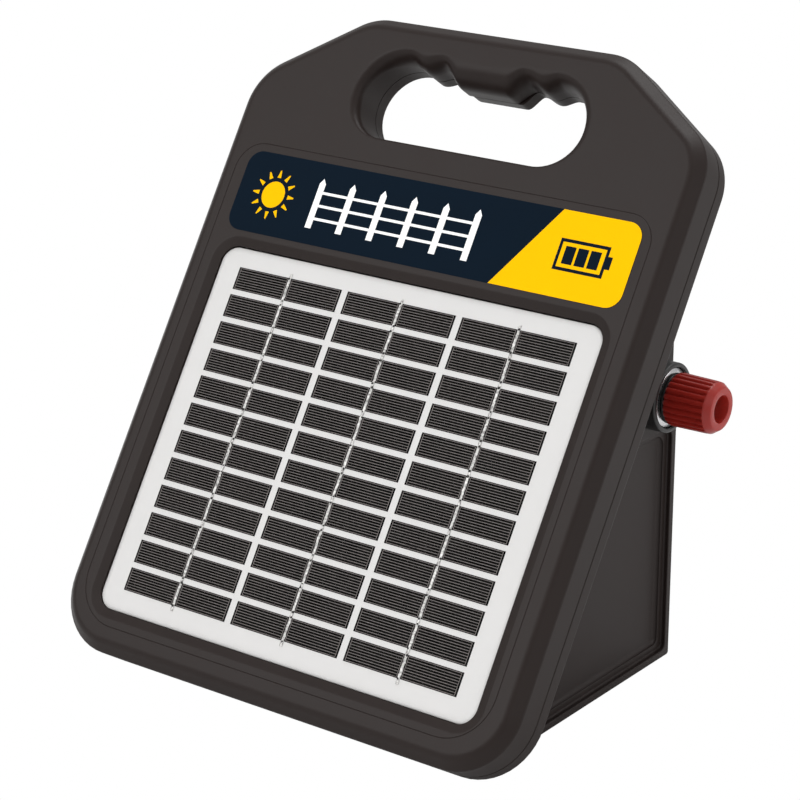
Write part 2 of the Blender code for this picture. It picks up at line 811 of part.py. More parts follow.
def terminal(prefix, side, frame, bush_material, steel, knob_material, insert_material):
    """One fence terminal, from the nut inside the case to the knob outside."""
    axis = terminal_frame(f"{prefix}_terminal_axis", side, frame)
    terminal_bush(f"{prefix}_terminal_bush", axis, bush_material)
    stud(f"{prefix}_stud", axis, steel)
    stud_nut(f"{prefix}_stud_nut", axis, steel)
    ring_lug(f"{prefix}_ring_lug", side, axis, steel)
    washer(f"{prefix}_contact_washer", WASHER_FACE - 1.4, WASHER_FACE, CONTACT_RADIUS, axis, steel)
    clamp_washer(f"{prefix}_clamp_washer", axis, steel)
    washer(f"{prefix}_knob_insert", WASHER_FACE + 1.8, INSERT_END, INSERT_RADIUS, axis, insert_material)
    knob(f"{prefix}_knob", axis, knob_material)


# ---------------------------------------------------------------- back cover, switch and lamp


def back_cover(frame, plastic, rubber, steel):
    """The battery cover, the seal behind it and its four screws."""
    edges = box_corners(COVER_HALF_WIDTH, COVER_BOTTOM, COVER_TOP, 5.0)
    cover = prism_y("back_cover", rounded(edges, 4), COVER_INNER, CASE_BACK, frame, plastic)
    rings = []
    for grow, y in ((1.0, 59.9), (3.6, 59.9), (3.6, 60.7), (1.0, 60.7)):
        radius = OPENING_CORNER + grow
        edges = box_corners(OPENING_HALF_WIDTH + grow, OPENING_BOTTOM - grow, OPENING_TOP + grow, radius)
        rings.append([(x, y, z) for x, z in rounded(edges, 4)])
    loft("back_cover_seal", rings, frame, rubber, close=True)
    seat = CASE_BACK - 1.5
    head = 2.7
    for index, (x, z) in enumerate(COVER_SCREWS):
        place = facing_back(f"cover_screw_place_{index + 1}", x, z, frame)
        for part, radius, start in (
            ("clearance", COVER_SCREW_RADIUS + 0.6, COVER_INNER - 5),
            ("counterbore", head + 0.4, seat - GAP),
        ):
            hole = [(start, radius), (CASE_BACK + 5, radius)]
            cut(cover, turned_solid(f"cover_{part}_{index}", hole, place, steps=10))
        stations = [
            (COVER_BOSS_FRONT + 2.5, 0.5),
            (COVER_BOSS_FRONT + 3.5, COVER_SCREW_RADIUS),
            (seat, COVER_SCREW_RADIUS),
            (seat + 0.01, head),
            (seat + 0.9, head),
            (seat + 1.4, head - 0.5),
        ]
        turned_solid(f"back_cover_screw_{index + 1}", stations, place, steel, steps=10)


def switch(frame, plastic, rocker_material):
    """A round rocker switch: its body and bezel, and the rocker on its own pivot."""
    place = facing_back("switch_place", SWITCH_X, SWITCH_Z, frame)
    shoulder = BACK_WALL_OUTER + GAP
    stations = [
        (43.0, SWITCH_RADIUS - 1.5),
        (46.0, SWITCH_RADIUS),
        (shoulder, SWITCH_RADIUS),
        (shoulder + 0.01, BEZEL_RADIUS),
        (BEZEL_FACE - 0.8, BEZEL_RADIUS),
        (BEZEL_FACE, BEZEL_RADIUS - 0.8),
    ]
    body = turned_solid("switch_body", stations, place, plastic, steps=28)
    half_x, half_z = ROCKER_HALF_WIDTH + GAP, ROCKER_HALF_LENGTH + 0.9
    cut(body, block("switch_pocket", (-half_x, -half_z, 51.5), (half_x, half_z, 70), place))
    pivot = make_frame("switch_pivot", frame, (SWITCH_X, ROCKER_PIVOT_Y, SWITCH_Z), (ROCKER_REST, 0, 0))
    long = ROCKER_HALF_LENGTH
    upper = [(3.4, 0.0), (5.2, long), (1.0, long), (-2.5, long * 0.72), (-5.0, long * 0.25)]
    lower = [(y, -z) for y, z in reversed(upper[1:])]
    outline = upper + lower
    prism_x("switch_rocker", outline, -ROCKER_HALF_WIDTH, ROCKER_HALF_WIDTH, pivot, rocker_material)


def status_lamp(frame, lens_material, led_material):
    """A flanged lens in the back wall, with its lamp behind it."""
    place = facing_back("lamp_place", LAMP_X, SWITCH_Z, frame)
    lens = [
        (55.4, 4.2),
        (56.7, 4.2),
        (56.71, LAMP_RADIUS),
        (60.4, LAMP_RADIUS),
        (61.6, 2.1),
        (62.3, 1.2),
        (62.5, 0.4),
    ]
    turned_solid("status_lens", lens, place, lens_material)
    led = [(47.0, 2.9), (48.2, 2.9), (48.21, 2.4), (53.0, 2.4), (54.4, 1.6), (55.0, 0.5)]
    turned_solid("status_led", led, place, led_material, steps=10)


# ---------------------------------------------------------------- battery and electronics


def battery(frame, case_material, steel):
    """A sealed block battery with two blade tabs, and the metal cradle that holds it to the back wall."""
    half, front, back, top = BATTERY_HALF_WIDTH, BATTERY_FRONT, BATTERY_BACK, BATTERY_TOP
    body = block("battery", (-half, front, CASE_FLOOR + GAP), (half, back, top), frame, case_material)
    lid_low = (-half + 3, front + 3, top - 2)
    lid_high = (half - 3, back - 14, top + 2)
    join(body, block("battery_lid", lid_low, lid_high, frame))
    for index, x in enumerate((-TAB_X, TAB_X)):
        tab_low = (x - 2.4, TAB_Y - 0.4, top - 3)
        tab_high = (x + 2.4, TAB_Y + 0.4, top + TAB_HEIGHT)
        join(body, block(f"battery_tab_{index}", tab_low, tab_high, frame))
    inner, thick, ear = half + 0.6, 1.2, 54.0
    outer = inner + thick
    face = BACK_WALL_INNER - 0.4
    outline = [
        (-ear, face - thick),
        (-outer, face - thick),
        (-outer, front - 0.6 - thick),
        (outer, front - 0.6 - thick),
        (outer, face - thick),
        (ear, face - thick),
        (ear, face),
        (inner, face),
        (inner, front - 0.6),
        (-inner, front - 0.6),
        (-inner, face),
        (-ear, face),
    ]
    slab("battery_cradle", outline, CRADLE_BOTTOM, CRADLE_BOTTOM + 16, frame, steel)


def board_posts():
    edge = BOARD_HALF_WIDTH - 6
    return [(x, y) for x in (-edge, edge) for y in (BOARD_FRONT + 6, BOARD_BACK - 6)]


def transformer(frame, ferrite, copper):
    """A three-legged core standing on the board, with its winding round the middle leg."""
    reach, half_depth, height = 19.0, 7.0, 34.0
    x, y, floor = TRANSFORMER_X, TRANSFORMER_Y, BOARD_TOP + GAP
    low = (x - reach, y - half_depth, floor)
    high = (x + reach, y + half_depth, floor + height)
    core = block("transformer_core", low, high, frame, ferrite)
    window_low, window_high = floor + 6, floor + height - 6
    for index, (near, far) in enumerate(((-13.0, -6.3), (6.3, 13.0))):
        low = (x + near, y - 20, window_low)
        high = (x + far, y + 20, window_high)
        cut(core, block(f"core_window_{index}", low, high, frame))
    hole = box_corners(6.6, -7.3, 7.3, 0.5)
    outside = box_corners(12.6, -15.0, 15.0, 3.0)
    bottom, top = window_low + 0.4, window_high - 0.4
    rings = []
    for corners, z in ((hole, bottom), (outside, bottom), (outside, top), (hole, top)):
        rings.append([(x + across, y + along, z) for across, along in rounded(corners, 3)])
    loft("transformer_winding", rings, frame, copper, close=True)


def electronics(frame, board_green, ferrite, copper, black, silver):
    """The board and the large parts on it: transformer, capacitors, and a thyristor on its heat sink."""
    low = (-BOARD_HALF_WIDTH, BOARD_FRONT, BOARD_BOTTOM)
    high = (BOARD_HALF_WIDTH, BOARD_BACK, BOARD_TOP)
    block("circuit_board", low, high, frame, board_green)
    transformer(frame, ferrite, copper)
    floor = BOARD_TOP + GAP
    for index, x in enumerate((-12.0, -34.0)):
        place = make_frame(f"capacitor_place_{index + 1}", frame, (x, -24.0, floor))
        stations = [(0.0, 8.6), (0.5, 9.0), (31.0, 9.0), (32.0, 8.2)]
        turned_solid(f"storage_capacitor_{index + 1}", stations, place, black)
    back, front, fin_end, thick = -58.0, -46.0, -40.0, 1.5
    other_end = -12.5
    channel = [
        (back, fin_end),
        (front, fin_end),
        (front, fin_end + thick),
        (back + thick, fin_end + thick),
        (back + thick, other_end - thick),
        (front, other_end - thick),
        (front, other_end),
        (back, other_end),
    ]
    slab("heat_sink", channel, floor, floor + 24, frame, silver)
    block("thyristor", (-56.2, -31.0, floor + 3), (-51.8, -21.0, floor + 19), frame, black)


def wiring(frame, red, black, white):
    """The leads, each from its terminal, battery tab, panel or switch down to the board."""
    lug_x, lug_z = LUG_START + 0.3, TERMINAL_Z - 19.0
    floor = BOARD_TOP + 1.8
    live = [
        (lug_x, TERMINAL_Y, lug_z),
        (76.0, 44.0, -72.0),
        (66.0, 14.0, -104.0),
        (56.0, -8.0, -112.0),
        (51.5, -20.0, -114.0),
    ]
    tube("live_lead", live, 1.2, frame, red)
    earth = [
        (-lug_x, TERMINAL_Y, lug_z),
        (-76.0, 42.0, -76.0),
        (-68.0, 16.0, -112.0),
        (-58.0, 4.0, -128.0),
        (-48.0, -4.0, floor),
    ]
    tube("earth_lead", earth, 1.2, frame, black)
    tab_end = BATTERY_TOP + TAB_HEIGHT + 1.9
    for name, side, foot, material in (
        ("battery_lead_positive", 1, 4.0, red),
        ("battery_lead_negative", -1, 10.0, black),
    ):
        path = [
            (side * TAB_X, TAB_Y, tab_end),
            (side * (TAB_X - 1), 36.0, tab_end + 8),
            (side * 17.0, 14.0, tab_end + 6),
            (side * (foot + 5), 2.0, -62.0),
            (side * (foot + 2), 2.0, -100.0),
            (side * foot, 0.0, floor),
        ]
        tube(name, path, 1.1, frame, material)
    panel_y, panel_z = on_plate(-60.0, WINDOW_FLOOR - 1.2)
    panel = [
        (-20.0, panel_y, panel_z),
        (-20.0, panel_y + 10, panel_z - 12),
        (-22.0, -10.0, -96.0),
        (-23.0, -6.0, floor),
    ]
    tube("panel_lead", panel, 1.1, frame, white)
    to_switch = [
        (SWITCH_X, 41.4, SWITCH_Z),
        (34.0, 30.0, -12.0),
        (46.0, 8.0, -40.0),
        (52.0, 0.5, -90.0),
        (52.0, -1.0, floor),
    ]
    tube("switch_lead", to_switch, 1.1, frame, white)


# ---------------------------------------------------------------- assembly


def main():
    clear_scene()
    frame = make_frame("case_frame", None, (0, -depth_middle(), -GROUND))
    plate = make_frame("plate_frame", frame, (0, 0, 0), (math.pi / 2 - LEAN, 0, 0))

    shell = make_material("shell_plastic", (0.051, 0.044, 0.042), 0.45)
    rubber = make_material("rubber", (0.02, 0.02, 0.02), 0.8)
    steel = make_material("stainless_steel", (0.62, 0.62, 0.63), 0.3, 1.0)
    dark_steel = make_material("dark_steel", (0.08, 0.08, 0.08), 0.4, 1.0)
    red_plastic = make_material("red_plastic", (0.30, 0.018, 0.018), 0.4)
    black_plastic = make_material("black_plastic", (0.018, 0.018, 0.018), 0.45)

    front_housing(plate, shell)
    rear_housing(plate, frame, shell)
    housing_seal(plate, rubber)
    housing_screws(plate, steel)
    feet(frame, rubber)

    solar_panel(
        plate,
        make_material("white_laminate", (0.75, 0.76, 0.77), 0.4),
        make_material("solar_cell", (0.012, 0.010, 0.010), 0.3),
        make_material("clear_resin", (0.9, 0.9, 0.9), 0.1, 0.0, 0.3),
    )
    label_plate(plate, make_material("label_film", (0.008, 0.015, 0.025), 0.4))

    terminal("live", 1, frame, black_plastic, steel, red_plastic, dark_steel)
    terminal("earth", -1, frame, black_plastic, steel, black_plastic, dark_steel)

    back_cover(frame, shell, rubber, steel)
    switch(frame, black_plastic, make_material("rocker_plastic", (0.05, 0.05, 0.05), 0.35))
    status_lamp(
        frame,
        make_material("lens_green", (0.05, 0.45, 0.08), 0.15),
        make_material("led_resin", (0.5, 0.8, 0.5), 0.2),
    )

    battery(frame, make_material("battery_case", (0.03, 0.03, 0.035), 0.5), steel)
    electronics(
        frame,
        make_material("board_green", (0.01, 0.10, 0.04), 0.4),
        make_material("ferrite", (0.04, 0.04, 0.045), 0.6),
        make_material("copper_winding", (0.45, 0.16, 0.06), 0.35, 1.0),
        black_plastic,
        make_material("aluminium", (0.7, 0.7, 0.72), 0.35, 1.0),
    )
    wiring(
        frame,
        make_material("red_wire", (0.45, 0.02, 0.02), 0.5),
        make_material("black_wire", (0.02, 0.02, 0.02), 0.5),
        make_material("white_wire", (0.7, 0.7, 0.7), 0.5),
    )


main()
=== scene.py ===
"""The looks of the solar fence energizer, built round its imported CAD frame.

Shapes are drawn in millimetres and land in the row frame in metres. Slab coordinates are x to the right,
u up the slab and h out of its front face; case coordinates are x, y, z. Both start at the middle of the
solar cells' top edge, as in the CAD.
"""

import json
import random
from math import copysign, cos, hypot, pi, radians, sin, tan

import bmesh
import bpy
from mathutils import Matrix, Vector


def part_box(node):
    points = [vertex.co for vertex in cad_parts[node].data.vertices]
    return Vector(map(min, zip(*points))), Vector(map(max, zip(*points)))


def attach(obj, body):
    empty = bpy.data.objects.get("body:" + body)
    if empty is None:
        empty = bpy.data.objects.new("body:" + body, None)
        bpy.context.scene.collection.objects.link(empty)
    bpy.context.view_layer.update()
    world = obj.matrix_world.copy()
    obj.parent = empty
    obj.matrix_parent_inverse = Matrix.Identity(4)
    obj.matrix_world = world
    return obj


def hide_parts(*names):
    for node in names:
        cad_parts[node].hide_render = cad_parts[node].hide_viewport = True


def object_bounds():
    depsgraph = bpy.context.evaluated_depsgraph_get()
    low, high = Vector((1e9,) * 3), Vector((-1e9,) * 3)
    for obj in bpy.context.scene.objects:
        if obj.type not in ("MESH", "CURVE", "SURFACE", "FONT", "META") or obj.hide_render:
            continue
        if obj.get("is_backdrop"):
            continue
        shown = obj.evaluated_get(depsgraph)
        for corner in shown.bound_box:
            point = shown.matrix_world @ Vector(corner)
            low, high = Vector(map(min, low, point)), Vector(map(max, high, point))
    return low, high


MM = 0.001
SCALE = Matrix.Diagonal((MM, MM, MM, 1))
LEAN = radians(33.1)

# Slab
HALF_WIDTH = 108.9
BOTTOM = -163.5
TOP = 113.0
SHOULDER_U = 81.2
TOP_CORNER_X = 60.2
BOTTOM_CORNER = 26.0
SHOULDER_CORNER = 24.0
TOP_CORNER = 26.0
FRONT = 2.0
BACK = -19.5
PARTING = -13.2
PARTING_GAP = 0.1
PARTING_CHAMFER = 0.35
EDGE_CHAMFER = 4.3
BACK_FILLET = 1.2
WALL = 2.6
CAVITY_TOP = 57.0

# Hand-hole
HOLE_BOTTOM = 62.7
HOLE_TOP = 97.0
HOLE_END_X = 35.5
RIDGE_U = 90.5
SIDE_RIDGE_U = 94.3
GROOVE_U = 96.6
GRIP_FRONT_U = 101.5
GRIP_CARRY = 0.4
RIDGE_HALF = 11.0
GROOVE_X = 19.5
SIDE_RIDGE_X = 28.0
GRIP_DEPTH = 10.0
END_FLARE = 4.2
SILL_FLARE = 1.0
HOLE_CHAMFER = 0.1
REAR_RIDGE_SHIFT = 2.2

# Front face
WINDOW_HALF = 91.0
WINDOW_BOTTOM = -146.0
WINDOW_TOP = 7.9
WINDOW_CORNER = 7.0
WINDOW_FLOOR = -3.0
GROOVE_LEFT = -99.9
GROOVE_RIGHT = 98.5
GROOVE_BOTTOM = -153.3
GROOVE_TOP = 52.0
LABEL_HALF = 94.0
LABEL_BOTTOM = 14.5
LABEL_TOP = 48.5
LABEL_CORNER = 6.5
LABEL_FACE = FRONT + 0.16
PRINT = 0.03

# Solar cells
CELL_WIDTH = 52.0
CELL_GAP = 3.0
CELL_HEIGHT = 9.38
ROW_PITCH = 11.63
ROWS = 12
CAD_CELL_TOP = 0.1
CAD_CELL_BACK = -0.2
CELL_FACE = 0.08
RIBBON_HALF = 0.7
PANEL_ROLL = 2.6
PANEL_DROP = 0.45

# Case
CASE_HALF = 86.5
CASE_INNER_HALF = 80.5
CASE_BOTTOM = -147.6
CASE_FLOOR = -145.0
CASE_BACK = 64.0
CASE_BACK_TOP = 20.0
CASE_TOP_U = 56.0
BACK_WALL_OUTER = 59.6
BACK_WALL_INNER = 57.1
RIM = 3.0
RECESS_DROP = 13.6
CASE_FRONT = -160.0
STEP_1 = 84.4
STEP_2 = 83.0
UPPER_SIDE = 84.0
PAD_RADIUS = 15.0
BACK_RIM_HALF = 82.0

# Terminals, along each terminal's axis from the middle plane
RING_RADIUS = 13.8
RING_FACE = 93.9
WASHER_FACE = 93.0
BARREL_RADIUS = 8.2
SEAT_RADIUS = 12.0
BORE_RADIUS = 4.3
CONTACT_RADIUS = 11.7
CLAMP_RADIUS = 9.9
CLAMP_CUP_RADIUS = 7.5
CLAMP_END = 94.9
STUD_RADIUS = 3.95
INSERT_RADIUS = 6.2
INSERT_END = 106.5
KNOB_BASE = 95.0
KNOB_END = 115.2
KNOB_RADIUS = 10.4
KNOB_FLUTES = 24
KNOB_HOLE = 5.4

# Back
COVER_HALF = 53.0
COVER_BOTTOM = -143.8
COVER_TOP = -29.0
COVER_INNER = 61.0
OPENING_HALF = 42.0
OPENING_BOTTOM = -132.0
OPENING_TOP = -40.0
BEZEL_RADIUS = 12.0
SWITCH_RADIUS = 10.0
LENS_RADIUS = 2.5
ROCKER_HALF = 7.0


# ---- frame

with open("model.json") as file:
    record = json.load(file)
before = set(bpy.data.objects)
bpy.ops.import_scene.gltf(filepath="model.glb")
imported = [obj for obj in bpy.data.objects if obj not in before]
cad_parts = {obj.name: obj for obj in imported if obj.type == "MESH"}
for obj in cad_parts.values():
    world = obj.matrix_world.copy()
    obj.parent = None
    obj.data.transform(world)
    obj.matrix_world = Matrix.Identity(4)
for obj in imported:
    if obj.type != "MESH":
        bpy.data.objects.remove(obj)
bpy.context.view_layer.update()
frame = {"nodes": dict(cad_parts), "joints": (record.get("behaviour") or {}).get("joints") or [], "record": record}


def case_matrix():
    """From case coordinates in millimetres to the row frame in metres."""
    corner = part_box("solar_string_centre")[1]
    y = corner.y + CAD_CELL_BACK * MM * cos(LEAN)
    z = corner.z - CAD_CELL_TOP * MM * sin(LEAN)
    return Matrix.Translation((0, y, z)) @ SCALE


CASE = case_matrix()
SLAB = CASE @ Matrix.Rotation(pi / 2 - LEAN, 4, "X")


def middle(node):
    """Centre of a CAD node's box, in case coordinates."""
    low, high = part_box(node)
    return CASE.inverted() @ ((low + high) / 2)


def terminal_matrix(prefix, side):
    """Local Z runs outwards along the terminal's axis, from the middle plane."""
    axis = middle(f"{prefix}_stud")
    turn = Matrix.Rotation(side * pi / 2, 4, "Y")
    return CASE @ Matrix.Translation((0, axis.y, axis.z)) @ turn


def rear_matrix(at):
    """Local Z runs to the rear, through the point at of the case, and starts in the plane y = 0."""
    return CASE @ Matrix.Translation((at.x, 0, at.z)) @ Matrix.Rotation(-pi / 2, 4, "X")


# ---- outlines


def inset_corners(corners, inset):
    """Corners (x, y, radius) of a convex anticlockwise polygon, with each side moved in by inset."""
    moved = []
    for index, (x, y, radius) in enumerate(corners):
        here = Vector((x, y))
        before = (here - Vector(corners[index - 1][:2])).normalized()
        after = (Vector(corners[(index + 1) % len(corners)][:2]) - here).normalized()
        normal_before = Vector((-before.y, before.x))
        normal_after = Vector((-after.y, after.x))
        shift = (normal_before + normal_after) * (inset / (1 + normal_before.dot(normal_after)))
        moved.append((x + shift.x, y + shift.y, max(radius - inset, 0.3)))
    return moved


def rounded(corners, steps=12):
    """Points of a convex anticlockwise polygon whose corners are arcs."""
    points = []
    for index, (x, y, radius) in enumerate(corners):
        here = Vector((x, y))
        back = (Vector(corners[index - 1][:2]) - here).normalized()
        ahead = (Vector(corners[(index + 1) % len(corners)][:2]) - here).normalized()
        half = back.angle(ahead) / 2
        centre = here + (back + ahead).normalized() * (radius / sin(half))
        start = here + back * (radius / tan(half)) - centre
        sweep = pi - 2 * half
        for step in range(steps + 1):
            arm = start.copy()
            arm.rotate(Matrix.Rotation(sweep * step / steps, 2))
            points.append((centre.x + arm.x, centre.y + arm.y))
    return points


def box_corners(half, bottom, top, radius):
    return [(-half, bottom, radius), (half, bottom, radius), (half, top, radius), (-half, top, radius)]


def bar(x0, u0, x1, u1):
    return [(x0, u0), (x1, u0), (x1, u1), (x0, u1)]


def prism(outline, low, high):
    return [[(x, u, level) for x, u in outline] for level in (low, high)]


SLAB_CORNERS = [
    (-HALF_WIDTH, BOTTOM, BOTTOM_CORNER),
    (HALF_WIDTH, BOTTOM, BOTTOM_CORNER),
    (HALF_WIDTH, SHOULDER_U, SHOULDER_CORNER),
    (TOP_CORNER_X, TOP, TOP_CORNER),
    (-TOP_CORNER_X, TOP, TOP_CORNER),
    (-HALF_WIDTH, SHOULDER_U, SHOULDER_CORNER),
]
WINDOW_CORNERS = box_corners(WINDOW_HALF, WINDOW_BOTTOM, WINDOW_TOP, WINDOW_CORNER)
PANEL_CORNERS = box_corners(WINDOW_HALF + 0.3, WINDOW_BOTTOM - 0.2, WINDOW_TOP, WINDOW_CORNER)
LABEL_CORNERS = box_corners(LABEL_HALF, LABEL_BOTTOM, LABEL_TOP, LABEL_CORNER)
GROOVE_CORNERS = [
    (GROOVE_LEFT, GROOVE_BOTTOM, 20.0),
    (GROOVE_RIGHT, GROOVE_BOTTOM, 20.0),
    (GROOVE_RIGHT, GROOVE_TOP, 12.0),
    (GROOVE_LEFT, GROOVE_TOP, 12.0),
]
CAVITY_CORNERS = [
    (-HALF_WIDTH + WALL, BOTTOM + WALL, BOTTOM_CORNER - WALL),
    (HALF_WIDTH - WALL, BOTTOM + WALL, BOTTOM_CORNER - WALL),
    (HALF_WIDTH - WALL, CAVITY_TOP, 8.0),
    (-HALF_WIDTH + WALL, CAVITY_TOP, 8.0),
]


def edge_profile():
    """(inset, height) from the slab's side wall to its face: a chamfer with both its edges softened."""
    side_radius, face_radius = 1.6, 4.5
    side_steps, face_steps = 4, 6
    run_in = tan(pi / 8)
    points = []
    for step in range(side_steps + 1):
        angle = pi / 4 * step / side_steps
        low = FRONT - EDGE_CHAMFER - side_radius * run_in
        points.append((side_radius * (1 - cos(angle)), low + side_radius * sin(angle)))
    for step in range(face_steps + 1):
        angle = pi / 4 * (1 - step / face_steps)
        inset = EDGE_CHAMFER + face_radius * run_in - face_radius * sin(angle)
        points.append((inset, FRONT - face_radius * (1 - cos(angle))))
    return points


def ring_at(corners, inset, height, steps=12):
    """The outline of corners, moved in by inset, at one height."""
    return [(x, y, height) for x, y in rounded(inset_corners(corners, inset), steps)]


def rings_at(corners, stations, steps=12):
    return [ring_at(corners, inset, height, steps) for inset, height in stations]


def quarter(steps):
    """(share across, share up) round a quarter circle, from its upright end to its flat end."""
    angles = [pi / 2 * step / steps for step in range(steps + 1)]
    return [(1 - cos(angle), sin(angle)) for angle in angles]


def ease(share):
    return 0.5 - 0.5 * cos(pi * share)


def finger_line(x, shift):
    """The hand-hole's upper edge: a wide middle ridge, then a groove and a small ridge on each side."""
    crest = RIDGE_HALF + copysign(shift, x)
    knots = (
        (0.0, RIDGE_U),
        (crest, RIDGE_U),
        (GROOVE_X, GROOVE_U),
        (SIDE_RIDGE_X, SIDE_RIDGE_U),
        (HOLE_END_X, HOLE_TOP),
    )
    reach = min(abs(x), HOLE_END_X)
    for (x0, u0), (x1, u1) in zip(knots, knots[1:]):
        if reach <= x1:
            return u0 + (u1 - u0) * ease((reach - x0) / (x1 - x0))
    return HOLE_TOP


def hole_end(side):
    """A rounded end of the hand-hole, anticlockwise: the right end for side 1, the left end for -1."""
    radius = (HOLE_TOP - HOLE_BOTTOM) / 2
    level = HOLE_BOTTOM + radius
    steps = 28
    points = []
    for step in range(steps + 1):
        angle = pi * (step / steps - 0.5)
        across, up = cos(angle), side * sin(angle)
        tall, deep = (GRIP_FRONT_U - HOLE_TOP, GRIP_DEPTH) if up > 0 else (SILL_FLARE, SILL_FLARE)
        depth = deep + (END_FLARE - deep) * across
        x = side * (HOLE_END_X + radius * across)
        points.append((x, level + radius * up, side * END_FLARE * across, tall * up, depth))
    return points


def hole_points(shift=0.0):
    """The hand-hole's outline as (x, u, flare in x, flare in u, depth of the flare).

    shift moves the crest of the middle ridge to the right.
    """
    upper = []
    half_steps = 44
    for step in range(1, 2 * half_steps):
        x = HOLE_END_X * (1 - step / half_steps)
        u = finger_line(x, shift)
        front = GRIP_FRONT_U + GRIP_CARRY * (u - HOLE_TOP)
        upper.append((x, u, 0.0, front - u, GRIP_DEPTH))
    return hole_end(1) + upper + hole_end(-1)


def hole_ring(grow, height, shift=0.0):
    """The hand-hole's outline at one height, grown outwards by a small amount."""
    ring = []
    for x, u, flare_x, flare_u, _ in hole_points(shift):
        length = hypot(flare_x, flare_u)
        ring.append((x + grow * flare_x / length, u + grow * flare_u / length, height))
    return ring


# ---- meshes


class Skin:
    """A closed mesh grown from loops of points."""

    def __init__(self):
        self.mesh = bmesh.new()

    def loop(self, points):
        return [self.mesh.verts.new(point) for point in points]

    def bridge(self, first, second):
        count = len(first)
        for index in range(count):
            after = (index + 1) % count
            self.mesh.faces.new((first[index], first[after], second[after], second[index]))

    def run(self, rings, start=None):
        """Bridges one ring after another, from the loop start if it is given, and returns the end loops."""
        loops = [start] if start else []
        for ring in rings:
            loops.append(self.loop(ring))
            if len(loops) > 1:
                self.bridge(loops[-2], loops[-1])
        return loops[0], loops[-1]

    def fill(self, *loops):
        """Triangles over the flat region between an outer loop and any holes in it."""
        edges = []
        for loop in loops:
            for index, vertex in enumerate(loop):
                pair = (vertex, loop[(index + 1) % len(loop)])
                edges.append(self.mesh.edges.get(pair) or self.mesh.edges.new(pair))
        bmesh.ops.triangle_fill(self.mesh, edges=edges, use_beauty=True)

    def cap(self, loop):
        self.mesh.faces.new(loop)

    def block(self, rings):
        """A capped solid through rings of equally many points."""
        for loop in self.run(rings):
            self.cap(loop)

    def make(self, name, place):
        """The finished object, its vertices in the row frame."""
        bmesh.ops.recalc_face_normals(self.mesh, faces=self.mesh.faces)
        data = bpy.data.meshes.new(name)
        self.mesh.to_mesh(data)
        self.mesh.free()
        data.transform(place)
        return new_object(name, data)


def new_object(name, data):
    made = bpy.data.objects.new(name, data)
    bpy.context.scene.collection.objects.link(made)
    return made


def solid(name, rings, place):
    skin = Skin()
    skin.block(rings)
    return skin.make(name, place)


def turned(name, profile, place, steps=64, closed=False):
    """A solid turned round local Z from (z, radius) points. A closed profile leaves a bore."""
    rings = []
    for z, radius in profile:
        ring = []
        for step in range(steps):
            angle = 2 * pi * step / steps
            reach = radius(angle) if callable(radius) else radius
            ring.append((reach * cos(angle), reach * sin(angle), z))
        rings.append(ring)
    if not closed:
        return solid(name, rings, place)
    skin = Skin()
    first, last = skin.run(rings)
    skin.bridge(last, first)
    return skin.make(name, place)


def along(axis, name, corners, stations, place, steps=6):
    """A solid across x or y, whose outline in the two other axes is moved in by inset at each level."""
    rings = []
    for level, inset in stations:
        outline = rounded(inset_corners(corners, inset), steps)
        rings.append([(level, a, b) if axis == "x" else (a, level, b) for a, b in outline])
    return solid(name, rings, place)


def settle(piece):
    """Turns a piece's modifiers into its mesh."""
    graph = bpy.context.evaluated_depsgraph_get()
    data = bpy.data.meshes.new_from_object(piece.evaluated_get(graph))
    piece.modifiers.clear()
    piece.data = data


def carve(piece, tools, operation="DIFFERENCE"):
    """Cuts the tools from a piece, or joins them to it, and removes them."""
    for tool in tools:
        modifier = piece.modifiers.new(tool.name, "BOOLEAN")
        modifier.object = tool
        modifier.operation = operation
    settle(piece)
    for tool in tools:
        bpy.data.objects.remove(tool)


def soften(piece, angle=32.0, weighted=False):
    """Smooth shading except along edges sharper than angle. Weighted normals keep broad faces flat."""
    piece.data.shade_smooth()
    piece.data.set_sharp_from_angle(angle=radians(angle))
    if weighted:
        modifier = piece.modifiers.new("flat_faces", "WEIGHTED_NORMAL")
        modifier.keep_sharp = True
        modifier.weight = 80
    return piece


def dress(piece, material, slot, *nodes, body="housing"):
    """Gives a piece its material, its body and the CAD nodes that it stands for. The slot is not used."""
    piece.data.materials.clear()
    piece.data.materials.append(material)
    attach(piece, body)
    if nodes:
        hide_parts(*nodes)


# ---- materials


def add_node(tree, kind, **values):
    """A new shader node with its input sockets set."""
    node = tree.nodes.new(f"ShaderNode{kind}")
    set_sockets(tree, node, values)
    return node


def set_sockets(tree, node, values):
    """Sets a node's inputs: the output of another node is linked, and anything else is a value."""
    for name, value in values.items():
        socket = node.inputs[name.replace("_", " ")]
        if isinstance(value, bpy.types.NodeSocket):
            tree.links.new(value, socket)
        else:
            socket.default_value = value


